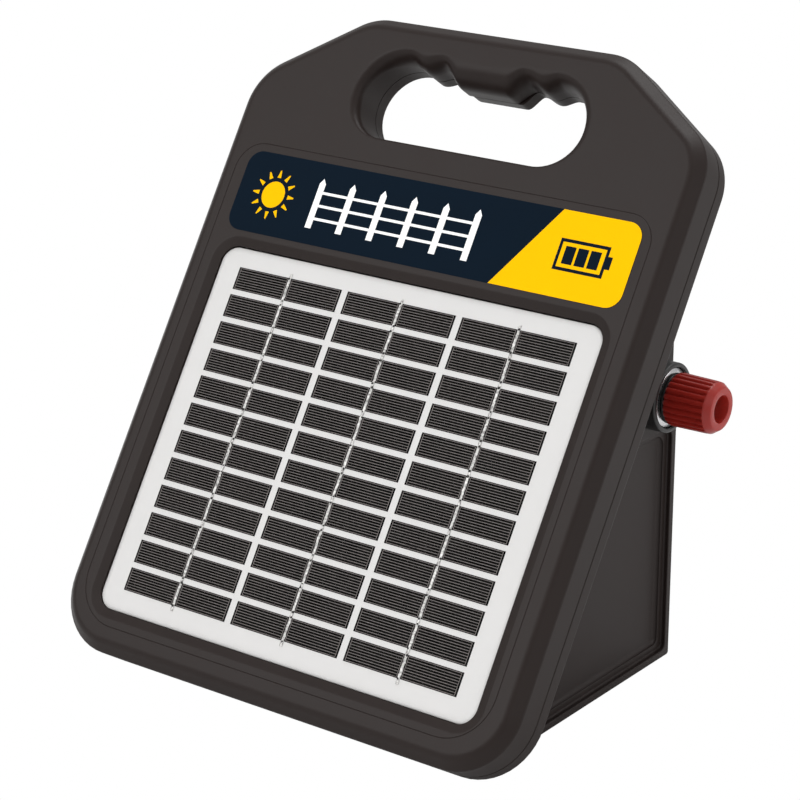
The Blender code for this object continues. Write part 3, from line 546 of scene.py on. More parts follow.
def varied(name, dark, light, roughness, pattern=60.0, spread=0.04, grain=0.0, grain_scale=2200.0, **sockets):
    """A Principled material: colour and roughness drift softly, and grain adds a fine bump."""
    made = bpy.data.materials.new(name)
    made.use_nodes = True
    tree = made.node_tree
    shader = tree.nodes["Principled BSDF"]
    place = add_node(tree, "TexCoord").outputs["Object"]
    drift = add_node(tree, "TexNoise", Vector=place, Scale=pattern, Detail=4.0).outputs["Fac"]
    ramp = add_node(tree, "ValToRGB", Fac=drift)
    for element, position, colour in zip(ramp.color_ramp.elements, (0.3, 0.7), (dark, light)):
        element.position = position
        element.color = (*colour, 1)
    gloss = add_node(tree, "MapRange", Value=drift, To_Min=roughness - spread, To_Max=roughness + spread)
    sockets.update(Base_Color=ramp.outputs["Color"], Roughness=gloss.outputs["Result"])
    if grain:
        speckle = add_node(tree, "TexNoise", Vector=place, Scale=grain_scale, Detail=2.0).outputs["Fac"]
        bump = add_node(tree, "Bump", Height=speckle, Strength=grain, Distance=0.1 * MM)
        sockets.update(Normal=bump.outputs["Normal"])
    set_sockets(tree, shader, sockets)
    return made


def shades(colour, change):
    """A darker and a lighter shade of one colour."""
    return tuple(c * (1 - change) for c in colour), tuple(c * (1 + change) for c in colour)


def plastic(name, colour, roughness, change=0.05, grain=0.15, **sockets):
    return varied(name, *shades(colour, change), roughness, grain=grain, **sockets)


def metal(name, colour, roughness, change=0.08, pattern=400.0, grain=0.0):
    return varied(name, *shades(colour, change), roughness, pattern, 0.06, grain, 900.0, Metallic=1.0)


def clear_film(name):
    """A thin clear layer: what is behind it shows, under a faint sheen."""
    dark, light = shades((0.025, 0.025, 0.025), 0.2)
    return varied(name, dark, light, 0.25, pattern=120.0, Alpha=0.04, Specular_IOR_Level=0.25)


SHELL = plastic("shell", (0.0178, 0.0120, 0.0106), 0.43, grain=0.15, Specular_IOR_Level=0.18)
RED = plastic("knob_red", (0.31, 0.018, 0.012), 0.34, change=0.08, grain=0.1, Specular_IOR_Level=0.35)
BLACK = plastic("black_plastic", (0.012, 0.0115, 0.011), 0.42)
RUBBER = plastic("rubber", (0.014, 0.014, 0.014), 0.75, grain=0.4)
STEEL = metal("steel", (0.66, 0.66, 0.67), 0.27)
DARK_STEEL = metal("dark_steel", (0.035, 0.034, 0.033), 0.42)
WHITE = plastic("white_laminate", (0.70, 0.69, 0.68), 0.38, change=0.012, grain=0.02, Coat_Weight=0.3)
CELL_SHADES = ((0.0045, 0.0038, 0.0040), (0.0095, 0.0076, 0.0076))
FINGER_SHADES = ((0.17, 0.154, 0.148), (0.27, 0.245, 0.235))
RIBBON_SHADES = ((0.15, 0.145, 0.14), (0.75, 0.74, 0.72))
CELL = varied("cell", *CELL_SHADES, 0.45, 180.0, Specular_IOR_Level=0.01)
FINGER = varied("finger", *FINGER_SHADES, 0.5, 700.0, Specular_IOR_Level=0.02)
RIBBON = varied("ribbon", *RIBBON_SHADES, 0.38, 1100.0, 0.1, 0.6, 1500.0, Metallic=0.6)
NAVY = plastic("label_navy", (0.0025, 0.0085, 0.0175), 0.55, change=0.04, grain=0.03, Specular_IOR_Level=0.03)
AMBER = (0.985, 0.525, 0.0006)
YELLOW = plastic("label_yellow", AMBER, 0.55, change=0.01, grain=0.03, Specular_IOR_Level=0.02)
INK = plastic("label_white", (0.93, 0.93, 0.93), 0.42, change=0.01, grain=0.05)
FILM = clear_film("clear_resin")


# ---- housing


def front_shell():
    """Rounded face with the hand-hole's scooped grip, the fine groove, and the window with its slope."""
    skin = Skin()
    parting = PARTING + PARTING_GAP
    stations = [(PARTING_CHAMFER, parting), (0.0, parting + PARTING_CHAMFER)]
    rim_outer, face_outer = skin.run(rings_at(SLAB_CORNERS, stations + edge_profile()))

    rings = [hole_ring(HOLE_CHAMFER, parting), hole_ring(0.0, parting + HOLE_CHAMFER)]
    for across, up in quarter(12):
        ring = []
        for x, u, flare_x, flare_u, depth in hole_points():
            ring.append((x + flare_x * across, u + flare_u * across, FRONT - depth * (1 - up)))
        rings.append(ring)
    rim_hole, face_hole = skin.run(rings)

    width, depth = 0.2, 0.15
    groove = [(0.0, FRONT), (width, FRONT - depth), (2 * width, FRONT)]
    groove_outer, groove_inner = skin.run(rings_at(GROOVE_CORNERS, groove))
    skin.fill(face_outer, groove_outer, face_hole)

    foot, slope_width, slope_foot = 0.45, 3.7, 0.55
    ledge_width, ledge_back = 6.0, -5.5
    window = [
        (-slope_width - 0.5 - foot, FRONT),
        (-slope_width - foot, FRONT - 0.05),
        (-slope_width + 0.4 - foot, FRONT - 0.2),
        (-foot - 0.15, slope_foot + 0.08),
        (-foot, slope_foot),
        (-foot, WINDOW_FLOOR),
        (ledge_width, WINDOW_FLOOR),
        (ledge_width, ledge_back),
        (-WALL, ledge_back),
        (-WALL, FRONT - WALL),
    ]
    slope_outer, inside_window = skin.run(rings_at(WINDOW_CORNERS, window))
    skin.fill(groove_inner, slope_outer)

    inside_edge = 5.0
    hollow = [(inside_edge, FRONT - WALL), (0.0, FRONT - WALL - inside_edge), (0.0, parting)]
    inside_face, rim_inner = skin.run(rings_at(CAVITY_CORNERS, hollow))
    skin.fill(inside_face, inside_window)
    skin.fill(rim_outer, rim_hole, rim_inner)
    shell = soften(skin.make("front_shell", SLAB), weighted=True)
    dress(shell, SHELL, "shell_plastic", "front_housing")


def back_tray():
    """The slab's back: its band beside the parting line, its rounded back edge and the hand-hole."""
    skin = Skin()
    parting = PARTING - PARTING_GAP
    stations = [(PARTING_CHAMFER, parting), (0.0, parting - PARTING_CHAMFER)]
    hole = [
        hole_ring(HOLE_CHAMFER, parting, REAR_RIDGE_SHIFT),
        hole_ring(0.0, parting - HOLE_CHAMFER, REAR_RIDGE_SHIFT),
    ]
    for across, up in quarter(6):
        level = BACK + BACK_FILLET - BACK_FILLET * up
        stations.append((BACK_FILLET * across, level))
        hole.append(hole_ring(BACK_FILLET * across, level, REAR_RIDGE_SHIFT))
    rim_outer, back_outer = skin.run(rings_at(SLAB_CORNERS, stations))
    rim_hole, back_hole = skin.run(hole)
    skin.fill(back_outer, back_hole)
    rim_inner, floor = skin.run(rings_at(CAVITY_CORNERS, [(0.0, parting), (0.0, BACK + WALL)]))
    skin.cap(floor)
    skin.fill(rim_outer, rim_hole, rim_inner)
    return skin.make("rear_shell", SLAB)


def on_slab(u, h):
    """Case coordinates (y, z) of a point of the slab."""
    return (u * sin(LEAN) - h * cos(LEAN), u * cos(LEAN) + h * sin(LEAN))


def case_block():
    """The wedge-shaped case, with rounded edges along its two sides."""
    foot_y = on_slab(BOTTOM, BACK)[0] + 0.4
    corners = [
        (*on_slab(BOTTOM + 1.5, BACK + 1.5), 0.3),
        (foot_y, CASE_BOTTOM, 0.4),
        (CASE_BACK, CASE_BOTTOM, 1.2),
        (CASE_BACK, CASE_BACK_TOP, 4.0),
        (*on_slab(CASE_TOP_U, BACK - 0.1), 0.3),
        (*on_slab(CASE_TOP_U, BACK + 1.5), 0.3),
    ]
    edge = 0.35
    right = [(CASE_HALF - edge + edge * up, edge * across) for across, up in quarter(4)]
    left = [(-x, inset) for x, inset in reversed(right)]
    return along("x", "case_block", corners, left + right, CASE)


def recess_stations(mouth, floor, lip, sink_wide, sink_deep, past=4.0):
    """(level, inset) of a recess's cutter: a rounded lip at its mouth and a concave edge at its floor."""
    arc = quarter(5)
    stations = [(mouth + past, -lip)]
    stations += [(mouth - lip * across, -lip * (1 - up)) for across, up in arc]
    stations += [(floor + sink_deep * (1 - up), sink_wide * across) for across, up in arc]
    return stations


def side_recess(side, margin, mouth, floor, lip, sink_wide, sink_deep):
    """A shallow recess in the case's side, below the terminal."""
    axis = middle("live_stud")
    low, high = CASE_BOTTOM + margin, axis.z - RECESS_DROP - margin
    front, back = CASE_FRONT, CASE_BACK - margin
    corners = [(front, low, 1.0), (back, low, 2.4), (back, high, 5.0), (front, high, 1.0)]
    stations = recess_stations(mouth, floor, lip, sink_wide, sink_deep)
    return along("x", "recess", corners, [(side * x, inset) for x, inset in stations], CASE)


def upper_recess(side, axis_place):
    """The side wall above the terminal is set back, except for a round pad behind the terminal."""
    low, high = middle("live_stud").z, 80.0
    front, back = -60.0, CASE_BACK + 10
    slope = 0.6
    corners = [(front, low, 0.4), (back, low, 0.4), (back, high, 0.4), (front, high, 0.4)]
    stations = [(side * (CASE_HALF + 4), 0.0), (side * (UPPER_SIDE + slope), 0.0), (side * UPPER_SIDE, 0.5)]
    recess = along("x", "upper_recess", corners, stations, CASE)
    pad = [
        (UPPER_SIDE - 5, PAD_RADIUS + slope),
        (UPPER_SIDE, PAD_RADIUS + slope),
        (UPPER_SIDE + slope, PAD_RADIUS),
        (CASE_HALF + 8, PAD_RADIUS),
    ]
    carve(recess, [turned("pad", pad, axis_place, steps=72)])
    return recess


def drill(at, start, end, radius, steps=40):
    return turned("drill", [(start, radius), (end, radius)], rear_matrix(at), steps)


def slab_drill(x, u):
    """A screw hole through the slab's back, with a counterbore for the head."""
    seat, wide, narrow = BACK + 2.25, 3.3, 1.8
    profile = [(BACK - 5, wide), (seat, wide), (seat, narrow), (PARTING + 5, narrow)]
    return turned("slab_drill", profile, SLAB @ Matrix.Translation((x, u, 0)), 32)


def housing_screw_places():
    """(x, u, h) of each screw that holds the shells together."""
    centres = [sum(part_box(f"housing_screw_{number}"), Vector()) / 2 for number in range(1, 7)]
    return [tuple(SLAB.inverted() @ centre) for centre in centres]


def cover_screw_places():
    return [middle(f"back_cover_screw_{n}") for n in range(1, 5)]


def case_hollow():
    corners = [
        (*on_slab(BOTTOM + 6.0, BACK + 4.5), 0.3),
        (on_slab(BOTTOM, BACK)[0] + 4.5, CASE_FLOOR, 0.3),
        (BACK_WALL_INNER, CASE_FLOOR, 0.5),
        (BACK_WALL_INNER, CASE_BACK_TOP + 2.6, 0.5),
        (*on_slab(CASE_TOP_U - 2.0, BACK + 4.5), 0.3),
    ]
    stations = [(-CASE_INNER_HALF, 0.0), (CASE_INNER_HALF, 0.0)]
    return along("x", "hollow", corners, stations, CASE, steps=3)


def back_recess():
    """The recess between the back's rims, its mouth and floor edges rounded."""
    corners = box_corners(BACK_RIM_HALF, CASE_BOTTOM + 3.2, CASE_BACK_TOP - 4.0, 4.0)
    stations = recess_stations(CASE_BACK, BACK_WALL_OUTER, 0.5, 1.2, 1.2)
    return along("y", "back_recess", corners, stations, CASE, steps=8)


def rear_shell():
    """The back tray and the case in one moulding, with its recesses, openings and screw holes."""
    sides = (("live", 1), ("earth", -1))
    case = case_block()
    cutters = []
    for prefix, side in sides:
        cutters.append(side_recess(side, RIM, CASE_HALF, STEP_1, 0.4, 0.8, 0.8))
        cutters.append(side_recess(side, 2 * RIM, STEP_1, STEP_2, 0.3, 2.6, 1.0))
        cutters.append(upper_recess(side, terminal_matrix(prefix, side)))
    cutters.append(back_recess())
    carve(case, cutters)
    shell = back_tray()
    carve(shell, [case], "UNION")
    edges = box_corners(OPENING_HALF, OPENING_BOTTOM, OPENING_TOP, 5.0)
    stations = [(BACK_WALL_INNER - 5, 0.0), (CASE_BACK + 4, 0.0)]
    cutters = [case_hollow(), along("y", "opening", edges, stations, CASE)]
    for place in cover_screw_places():
        cutters.append(drill(place, 51.0, 75.0, 1.3, 20))
    cutters.append(drill(middle("switch_body"), 50.0, 75.0, SWITCH_RADIUS + 0.3))
    cutters.append(drill(middle("status_lens"), 50.0, 75.0, LENS_RADIUS + 0.3, 32))
    for x, u, _ in housing_screw_places():
        cutters.append(slab_drill(x, u))
    for prefix, side in sides:
        profile = [(70, BARREL_RADIUS + 0.3), (95, BARREL_RADIUS + 0.3)]
        cutters.append(turned("terminal_hole", profile, terminal_matrix(prefix, side)))
    carve(shell, cutters)
    soften(shell, weighted=True)
    dress(shell, SHELL, "shell_plastic", "rear_housing")


# ---- solar panel


def panel_base():
    """The white laminate, whose border rolls down softly into the window."""
    stations = [(0.0, WINDOW_FLOOR + 0.3)]
    for across, up in quarter(10):
        stations.append((PANEL_ROLL * across, -PANEL_DROP * (1 - up)))
    base = soften(solid("panel_base", rings_at(PANEL_CORNERS, stations), SLAB), weighted=True)
    dress(base, WHITE, "white_laminate", "solar_backsheet")


def panel_cover():
    """The clear resin over cells and laminate, as thick at its rolled edge as in the middle."""
    above, thick = 0.3, 0.25
    under = []
    over = []
    for across, up in quarter(8):
        inset = PANEL_ROLL * across
        level = above - PANEL_DROP * (1 - up)
        under.append((inset + 0.02, level))
        over.append((inset, level + thick))
    rings = rings_at(PANEL_CORNERS, under[::-1] + over)
    cover = soften(solid("panel_cover", rings, SLAB), weighted=True)
    dress(cover, FILM, "clear_resin", "solar_cover")


def cell_string(side, centre):
    """One column of cells, each a thin dark strip."""
    skin = Skin()
    left, right = centre - CELL_WIDTH / 2, centre + CELL_WIDTH / 2
    for row in range(ROWS):
        top = -row * ROW_PITCH
        skin.block(prism(bar(left, top - CELL_HEIGHT, right, top), 0.004, CELL_FACE))
    cells = skin.make(f"cells_{side}", SLAB)
    dress(cells, CELL, "solar_cell", f"solar_string_{side}")


def finger_lines(side, centre):
    """The silver print on each half cell: fine lines along it, joined by one line at each of their ends."""
    skin = Skin()
    low, high = CELL_FACE, CELL_FACE + 0.03
    line, count, margin = 0.2, 9, 0.45
    pitch = (CELL_HEIGHT - 2 * margin) / (count - 1)
    for row in range(ROWS):
        top = -row * ROW_PITCH
        for half in (-1, 1):
            near = centre + half * (RIBBON_HALF + 0.5)
            far = centre + half * (CELL_WIDTH / 2 - 0.9)
            x0, x1 = sorted((near, far))
            for number in range(count):
                u = top - margin - number * pitch
                skin.block(prism(bar(x0, u - line / 2, x1, u + line / 2), low, high))
            for end in (near, far):
                cross = bar(end - line / 2, top - CELL_HEIGHT + margin, end + line / 2, top - margin)
                skin.block(prism(cross, high, high + 0.01))
    lines = skin.make(f"cell_fingers_{side}", SLAB)
    dress(lines, FINGER, "stainless_steel")


def tabbing_ribbon(side, centre, seed):
    """A soldered ribbon down the column: slightly wavy, lumpy where solder holds it, with short tails."""
    wander = random.Random(seed)
    start, end, step = 1.7, -(ROWS - 1) * ROW_PITCH - CELL_HEIGHT - 2.2, 0.55
    count = int((start - end) / step)
    rings = []
    shift = 0.0
    for index in range(count + 1):
        u = start + (end - start) * index / count
        shift = 0.8 * shift + wander.uniform(-0.07, 0.07)
        half = RIBBON_HALF * wander.uniform(0.82, 1.08)
        crown = CELL_FACE + 0.1 + wander.uniform(0.0, 0.09)
        x = centre + shift
        rings.append([
            (x - half, u, CELL_FACE + 0.005),
            (x + half, u, CELL_FACE + 0.005),
            (x + half * 0.8, u, crown),
            (x + half * 0.25, u, crown + wander.uniform(-0.03, 0.03)),
            (x - half * 0.25, u, crown + wander.uniform(-0.03, 0.03)),
            (x - half * 0.8, u, crown),
        ])
    ribbon = soften(solid(f"ribbon_{side}", rings, SLAB), angle=50.0)
    dress(ribbon, RIBBON, "stainless_steel")


def solder_points(side, centre, seed):
    """Small dark solder beads where the ribbon bridges the gap between two rows."""
    wander = random.Random(seed)
    beads = Skin()
    octagon = [pi / 4 * corner for corner in range(8)]
    for row in range(ROWS):
        for end in (0.0, -CELL_HEIGHT):
            x = centre + wander.uniform(-0.35, 0.35)
            u = -row * ROW_PITCH + end + wander.uniform(-0.4, 0.4)
            radius = wander.uniform(0.35, 0.6)
            rings = []
            for across, up in quarter(3)[:-1]:
                reach = radius * (1 - across)
                level = CELL_FACE + 0.15 + 0.12 * up
                rings.append([(x + reach * cos(a), u + reach * sin(a), level) for a in octagon])
            beads.block(rings)
    made = soften(beads.make(f"solder_{side}", SLAB), angle=60.0)
    dress(made, DARK_STEEL, "dark_steel")


def solar_panel():
    panel_base()
    panel_cover()
    for index, side in enumerate(("left", "centre", "right")):
        centre = (index - 1) * (CELL_WIDTH + CELL_GAP)
        cell_string(side, centre)
        finger_lines(side, centre)
        tabbing_ribbon(side, centre, 11 + index)
        solder_points(side, centre, 31 + index)


# ---- label


def prints(name, outlines, material, level=LABEL_FACE):
    """Printed shapes on the label, as one piece of thin separate solids."""
    skin = Skin()
    for outline in outlines:
        skin.block(prism(outline, level, level + PRINT))
    dress(skin.make(name, SLAB), material, "label_film")


def yellow_corner():
    """The right part of the label, cut off along a slanting line."""
    outline = rounded(inset_corners(LABEL_CORNERS, 0.06), 10)

    def slant(u):
        return 36.0 + 22.0 * (u - LABEL_BOTTOM) / (LABEL_TOP - LABEL_BOTTOM)

    right = [(x, u) for x, u in outline if x > slant(u)]
    low, high = right[0][1], right[-1][1]
    return [(slant(low), low)] + right + [(slant(high), high)]


def sun_sign(x, u, radius):
    """A plain sun: a disc and twelve tapered rays."""
    rim = [pi * step / 24 for step in range(48)]
    shapes = [[(x + radius * cos(angle), u + radius * sin(angle)) for angle in rim]]
    root, tip = radius * 1.3, radius * 1.85
    root_half, tip_half = 0.9, 0.25
    for ray in range(12):
        angle = ray * pi / 6
        out = Vector((cos(angle), sin(angle)))
        wide = Vector((-out.y, out.x))
        corners = [
            out * root - wide * root_half,
            out * tip - wide * tip_half,
            out * tip + wide * tip_half,
            out * root + wide * root_half,
        ]
        shapes.append([(x + corner.x, u + corner.y) for corner in corners])
    return shapes


def fence_sign(left, right, low, high, posts):
    """A plain fence: posts with pointed tops, and three wires through them."""
    shapes = []
    half, point, wire_half = 1.5, 2.2, 0.55
    pitch = (right - left) / (posts - 1)
    middles = [left + pitch * index for index in range(posts)]
    neck = high - point
    for x in middles:
        shapes.append([(x - half, low), (x + half, low), (x + half, neck), (x, high), (x - half, neck)])
    for wire in range(3):
        u = low + (high - low) * (0.2 + 0.26 * wire)
        for x, following in zip(middles, middles[1:]):
            shapes.append(bar(x + half, u - wire_half, following - half, u + wire_half))
    return shapes


def battery_sign(left, low, width, height):
    """A plain battery: its frame, its cap and three bars."""
    line = 1.3
    right, high = left + width, low + height
    shapes = [
        bar(left, low, right, low + line),
        bar(left, high - line, right, high),
        bar(left, low + line, left + line, high - line),
        bar(right - line, low + line, right, high - line),
        bar(right, low + height * 0.3, right + 2.0, low + height * 0.7),
    ]
    room = width - 4 * line
    for cell in range(3):
        x = left + 2 * line + cell * room / 3 + 0.5
        shapes.append(bar(x, low + 2.1 * line, x + room / 3 - 1.0, high - 2.1 * line))
    return shapes


def label():
    """A navy label with a yellow corner and three plain signs, and no lettering."""
    film = solid("label_film", prism(rounded(LABEL_CORNERS, 10), FRONT + 0.01, LABEL_FACE), SLAB)
    dress(film, NAVY, "label_film", "label_plate")
    prints("label_yellow", [yellow_corner()], YELLOW)
    prints("label_sun", sun_sign(-76.0, 31.5, 5.6), YELLOW)
    prints("label_fence", fence_sign(-54.0, 22.0, 21.0, 42.0, 6), INK)
    prints("label_battery", battery_sign(61.0, 25.0, 22.0, 12.5), NAVY, LABEL_FACE + PRINT)


# ---- terminals


def knob_profile():
    """(z, radius, share of flute depth) from the knob's base to its face, and into its hole."""
    chamfer, face = 2.7, 8.5
    profile = [
        (KNOB_BASE, INSERT_RADIUS + 0.3, 0.0),
        (KNOB_BASE, KNOB_RADIUS - 0.6, 0.6),
        (KNOB_BASE + 0.4, KNOB_RADIUS - 0.15, 1.0),
        (KNOB_BASE + 1.0, KNOB_RADIUS + 0.1, 1.0),
    ]
    stretches = (
        ((KNOB_END - chamfer - 1.6, KNOB_RADIUS - 0.15, 1.0), 8),
        ((KNOB_END - chamfer, KNOB_RADIUS - 0.27, 0.0), 4),
        ((KNOB_END - 0.25, face, 0.0), 4),
    )
    for end, steps in stretches:
        start = profile[-1]
        for step in range(1, steps + 1):
            profile.append(tuple(a + (b - a) * step / steps for a, b in zip(start, end)))
    profile += [
        (KNOB_END - 0.07, face - 0.18, 0.0),
        (KNOB_END, face - 0.45, 0.0),
        (KNOB_END, KNOB_HOLE + 0.35, 0.0),
        (KNOB_END - 0.1, KNOB_HOLE + 0.1, 0.0),
        (KNOB_END - 0.35, KNOB_HOLE, 0.0),
        (INSERT_END + 0.3, KNOB_HOLE, 0.0),
        (INSERT_END + 0.3, INSERT_RADIUS + 0.3, 0.0),
    ]
    return profile


class Terminal:
    """One terminal. Its pieces are turned round an axis that runs outwards from the middle plane."""

    def __init__(self, prefix, side):
        self.prefix = prefix
        self.place = terminal_matrix(prefix, side)

    def piece(self, name, profile, steps, angle, material, slot, node, body="housing", closed=True):
        made = turned(f"{self.prefix}_{name}", profile, self.place, steps, closed)
        soften(made, angle)
        dress(made, material, slot, f"{self.prefix}_{node}", body=body.format(self.prefix))


def knob(terminal, material, slot):
    """Straight flutes with flat ridges between them, fading out before a smooth chamfer."""
    flute_depth = 0.85

    def flute(radius, share):
        def reach(angle):
            wave = 0.5 + 0.5 * cos(KNOB_FLUTES * angle)
            return radius - flute_depth * share * wave**2.2
        return reach

    profile = [(z, flute(radius, share)) for z, radius, share in knob_profile()]
    terminal.piece("fluted_knob", profile, KNOB_FLUTES * 10, 40.0, material, slot, "knob", "{}_knob")


def bush(terminal):
    """Insulating bush: rounded ring, seat for the washer, barrel through the wall."""
    start, shoulder, seat = 78.0, CASE_HALF + 0.05, WASHER_FACE - 1.7
    edge, rounding, lip = 0.3, 0.9, 0.25
    profile = [(start, BORE_RADIUS), (start, BARREL_RADIUS), (shoulder, BARREL_RADIUS)]
    profile += [(shoulder, RING_RADIUS - edge), (shoulder + edge, RING_RADIUS)]
    for across, up in quarter(5):
        profile.append((RING_FACE - rounding + rounding * up, RING_RADIUS - rounding * across))
    profile += [(RING_FACE, SEAT_RADIUS + lip), (RING_FACE - lip, SEAT_RADIUS)]
    profile += [(seat, SEAT_RADIUS), (seat, BORE_RADIUS)]
    terminal.piece("bush", profile, 96, 40.0, BLACK, "black_plastic", "terminal_bush")


def rim(low, high, radius, edge):
    """(z, radius) of a disc's bore end and of its rim, whose two corners are cut."""
    corners = [(low, radius - edge), (low + edge, radius), (high - edge, radius), (high, radius - edge)]
    return [(low, BORE_RADIUS)] + corners


def seat_washer(terminal):
    """The bright washer sunk in the bush's seat."""
    profile = rim(WASHER_FACE - 1.4, WASHER_FACE, CONTACT_RADIUS, 0.15) + [(WASHER_FACE, BORE_RADIUS)]
    terminal.piece("seat_washer", profile, 72, 50.0, STEEL, "stainless_steel", "contact_washer")


def pressure_washer(terminal):
    """The cup between the wire and the knob, which travels with the knob. Its dark steel is partly painted shade:
    it stands for the knob's shadow and gap at its base.
    """
    cup_floor = WASHER_FACE + 1.3
    profile = rim(WASHER_FACE + 0.3, CLAMP_END, CLAMP_RADIUS, 0.2)
    profile += [(CLAMP_END, CLAMP_CUP_RADIUS), (cup_floor, CLAMP_CUP_RADIUS), (cup_floor, BORE_RADIUS)]
    # Dark steel here is partly painted shade, for the shadow under the knob's base.
    terminal.piece("pressure_washer", profile, 72, 50.0, DARK_STEEL, "dark_steel", "clamp_washer", "{}_clamp")


def insert(terminal):
    """The threaded metal insert that shows in the hole of the knob's face."""
    lead_in = 0.3
    profile = rim(WASHER_FACE + 2.0, INSERT_END, INSERT_RADIUS, 0.2)
    profile += [(INSERT_END, BORE_RADIUS + lead_in), (INSERT_END - lead_in, BORE_RADIUS)]
    terminal.piece("insert", profile, 48, 32.0, STEEL, "dark_steel", "knob_insert", "{}_knob")


def stud(terminal):
    """The stud, with the thread's ridges as fine rings."""
    pitch, depth, point = 1.25, 0.34, 0.7
    start, end = 68.0, 108.5
    profile = [(start, STUD_RADIUS - point)]
    z = start + 0.6
    while z + pitch < end:
        profile += [(z, STUD_RADIUS - depth), (z + pitch * 0.4, STUD_RADIUS), (z + pitch * 0.55, STUD_RADIUS)]
        z += pitch
    profile += [(end - 0.5, STUD_RADIUS - 0.1), (end, STUD_RADIUS - point)]
    terminal.piece("threaded_stud", profile, 40, 25.0, STEEL, "stainless_steel", "stud", closed=False)


def terminals():
    pair = (("live", 1, RED, "red_plastic"), ("earth", -1, BLACK, "black_plastic"))
    for prefix, side, material, slot in pair:
        terminal = Terminal(prefix, side)
        bush(terminal)
        stud(terminal)
        seat_washer(terminal)
        pressure_washer(terminal)
        insert(terminal)
        knob(terminal, material, slot)


# ---- back, feet and fasteners


def screw(name, place, top, under, shank_end, head, shank, node):
    """A pan-head screw with a cross recess, its head towards local +Z."""
    thick = top - under
    profile = [(shank_end, shank * 0.35), (shank_end + 1.2, shank), (under, shank), (under, head * 0.96)]
    profile.append((under + 0.15, head))
    for across, up in quarter(5)[:-1]:
        profile.append((under + thick * (0.35 + 0.65 * up), head * (1 - 0.75 * across**1.3)))
    profile.append((top, head * 0.2))
    made = turned(name, profile, place, 32)
    arm, half_slot, deep = head * 0.62, head * 0.14, thick * 0.75
    outline = [(-arm, -half_slot), (arm, -half_slot), (arm, half_slot), (-arm, half_slot)]
    tools = []
    for turn, lift in ((0.0, 0.0), (pi / 2, 0.1)):
        foot = [(x * 0.85, y * 0.7, top - deep + lift) for x, y in outline]
        mouth = [(x, y, top + 1.0 + lift) for x, y in outline]
        tools.append(solid("slot", [foot, mouth], place @ Matrix.Rotation(turn, 4, "Z")))
    carve(made, tools)
    soften(made)
    dress(made, STEEL, "stainless_steel", node)


def back_cover():
    """The battery cover: rounded edges, a shallow panel with five ribs, and countersunk screw seats."""
    corners = box_corners(COVER_HALF, COVER_BOTTOM, COVER_TOP, 5.0)
    edge = 0.9
    stations = [(COVER_INNER, 0.4), (COVER_INNER + 0.4, 0.0)]
    stations += [(CASE_BACK - edge + edge * up, edge * across) for across, up in quarter(5)]
    cover = along("y", "battery_cover", corners, stations, CASE, steps=10)
    border = 10
    panel = box_corners(COVER_HALF - border, COVER_BOTTOM + border, COVER_TOP - border, 4.0)
    stations = [(CASE_BACK + 3, -0.4), (CASE_BACK, -0.4), (CASE_BACK - 0.4, 0.0), (CASE_BACK - 0.7, 0.5)]
    tools = [along("y", "panel", panel, stations, CASE, steps=8)]
    for place in cover_screw_places():
        tools.append(drill(place, COVER_INNER - 5, CASE_BACK + 5, 1.6, 24))
        tools.append(drill(place, CASE_BACK - 1.8, CASE_BACK + 5, 3.1, 32))
    carve(cover, tools)
    ribs = []
    rib_half, rib_pitch = 1.1, 7.0
    stations = [(CASE_BACK - 1.2, 0.0), (CASE_BACK - 0.35, 0.0), (CASE_BACK - 0.05, 0.3)]
    for number in range(5):
        z = (COVER_BOTTOM + COVER_TOP) / 2 + (number - 2) * rib_pitch
        ribs.append(along("y", "rib", box_corners(22.0, z - rib_half, z + rib_half, 1.0), stations, CASE))
    carve(cover, ribs, "UNION")
    soften(cover, weighted=True)
    dress(cover, SHELL, "shell_plastic", "back_cover")


def switch_bezel():
    """The switch's round body, with the pocket that the rocker tilts in."""
    place = rear_matrix(middle("switch_body"))
    face, rounding = 62.4, 1.2
    shoulder = BACK_WALL_OUTER + 0.05
    profile = [(43.0, 8.5), (46.0, SWITCH_RADIUS), (shoulder, SWITCH_RADIUS), (shoulder, BEZEL_RADIUS - 0.1)]
    profile.append((shoulder + 0.2, BEZEL_RADIUS))
    for across, up in quarter(6):
        profile.append((face - rounding + rounding * up, BEZEL_RADIUS - rounding * across))
    body = turned("switch_bezel", profile, place, 72)
    pocket = [(0.0, 51.5), (0.0, face - 0.4), (-0.4, face), (-0.4, face + 4)]
    corners = box_corners(5.3, -7.9, 7.9, 0.6)
    carve(body, [solid("pocket", rings_at(corners, pocket, 3), place)])
    soften(body, weighted=True)
    dress(body, BLACK, "black_plastic", "switch_body")


def rocker_face(z):
    """How far the rocker's dished face stands out of its pivot, at z along it."""
    return 3.4 + 1.8 * (abs(z) / ROCKER_HALF) ** 1.7


def rocker(place):
    steps = 12
    outline = []
    for step in range(steps + 1):
        z = -ROCKER_HALF + 2 * ROCKER_HALF * step / steps
        outline.append((rocker_face(z), z))
    belly = [(1.0, 1.0), (-2.5, 0.72), (-5.0, 0.25), (-5.0, -0.25), (-2.5, -0.72), (1.0, -1.0)]
    outline += [(y, share * ROCKER_HALF) for y, share in belly]
    rings = []
    for x, shrink in ((-5.0, 0.25), (-4.75, 0.0), (4.75, 0.0), (5.0, 0.25)):
        rings.append([(x, y - (shrink if y > 1 else 0), z * (1 - shrink / ROCKER_HALF)) for y, z in outline])
    made = soften(solid("rocker", rings, place), angle=30.0)
    black = plastic("rocker", (0.03, 0.03, 0.03), 0.3)
    dress(made, black, "rocker_plastic", "switch_rocker", body="switch_rocker")


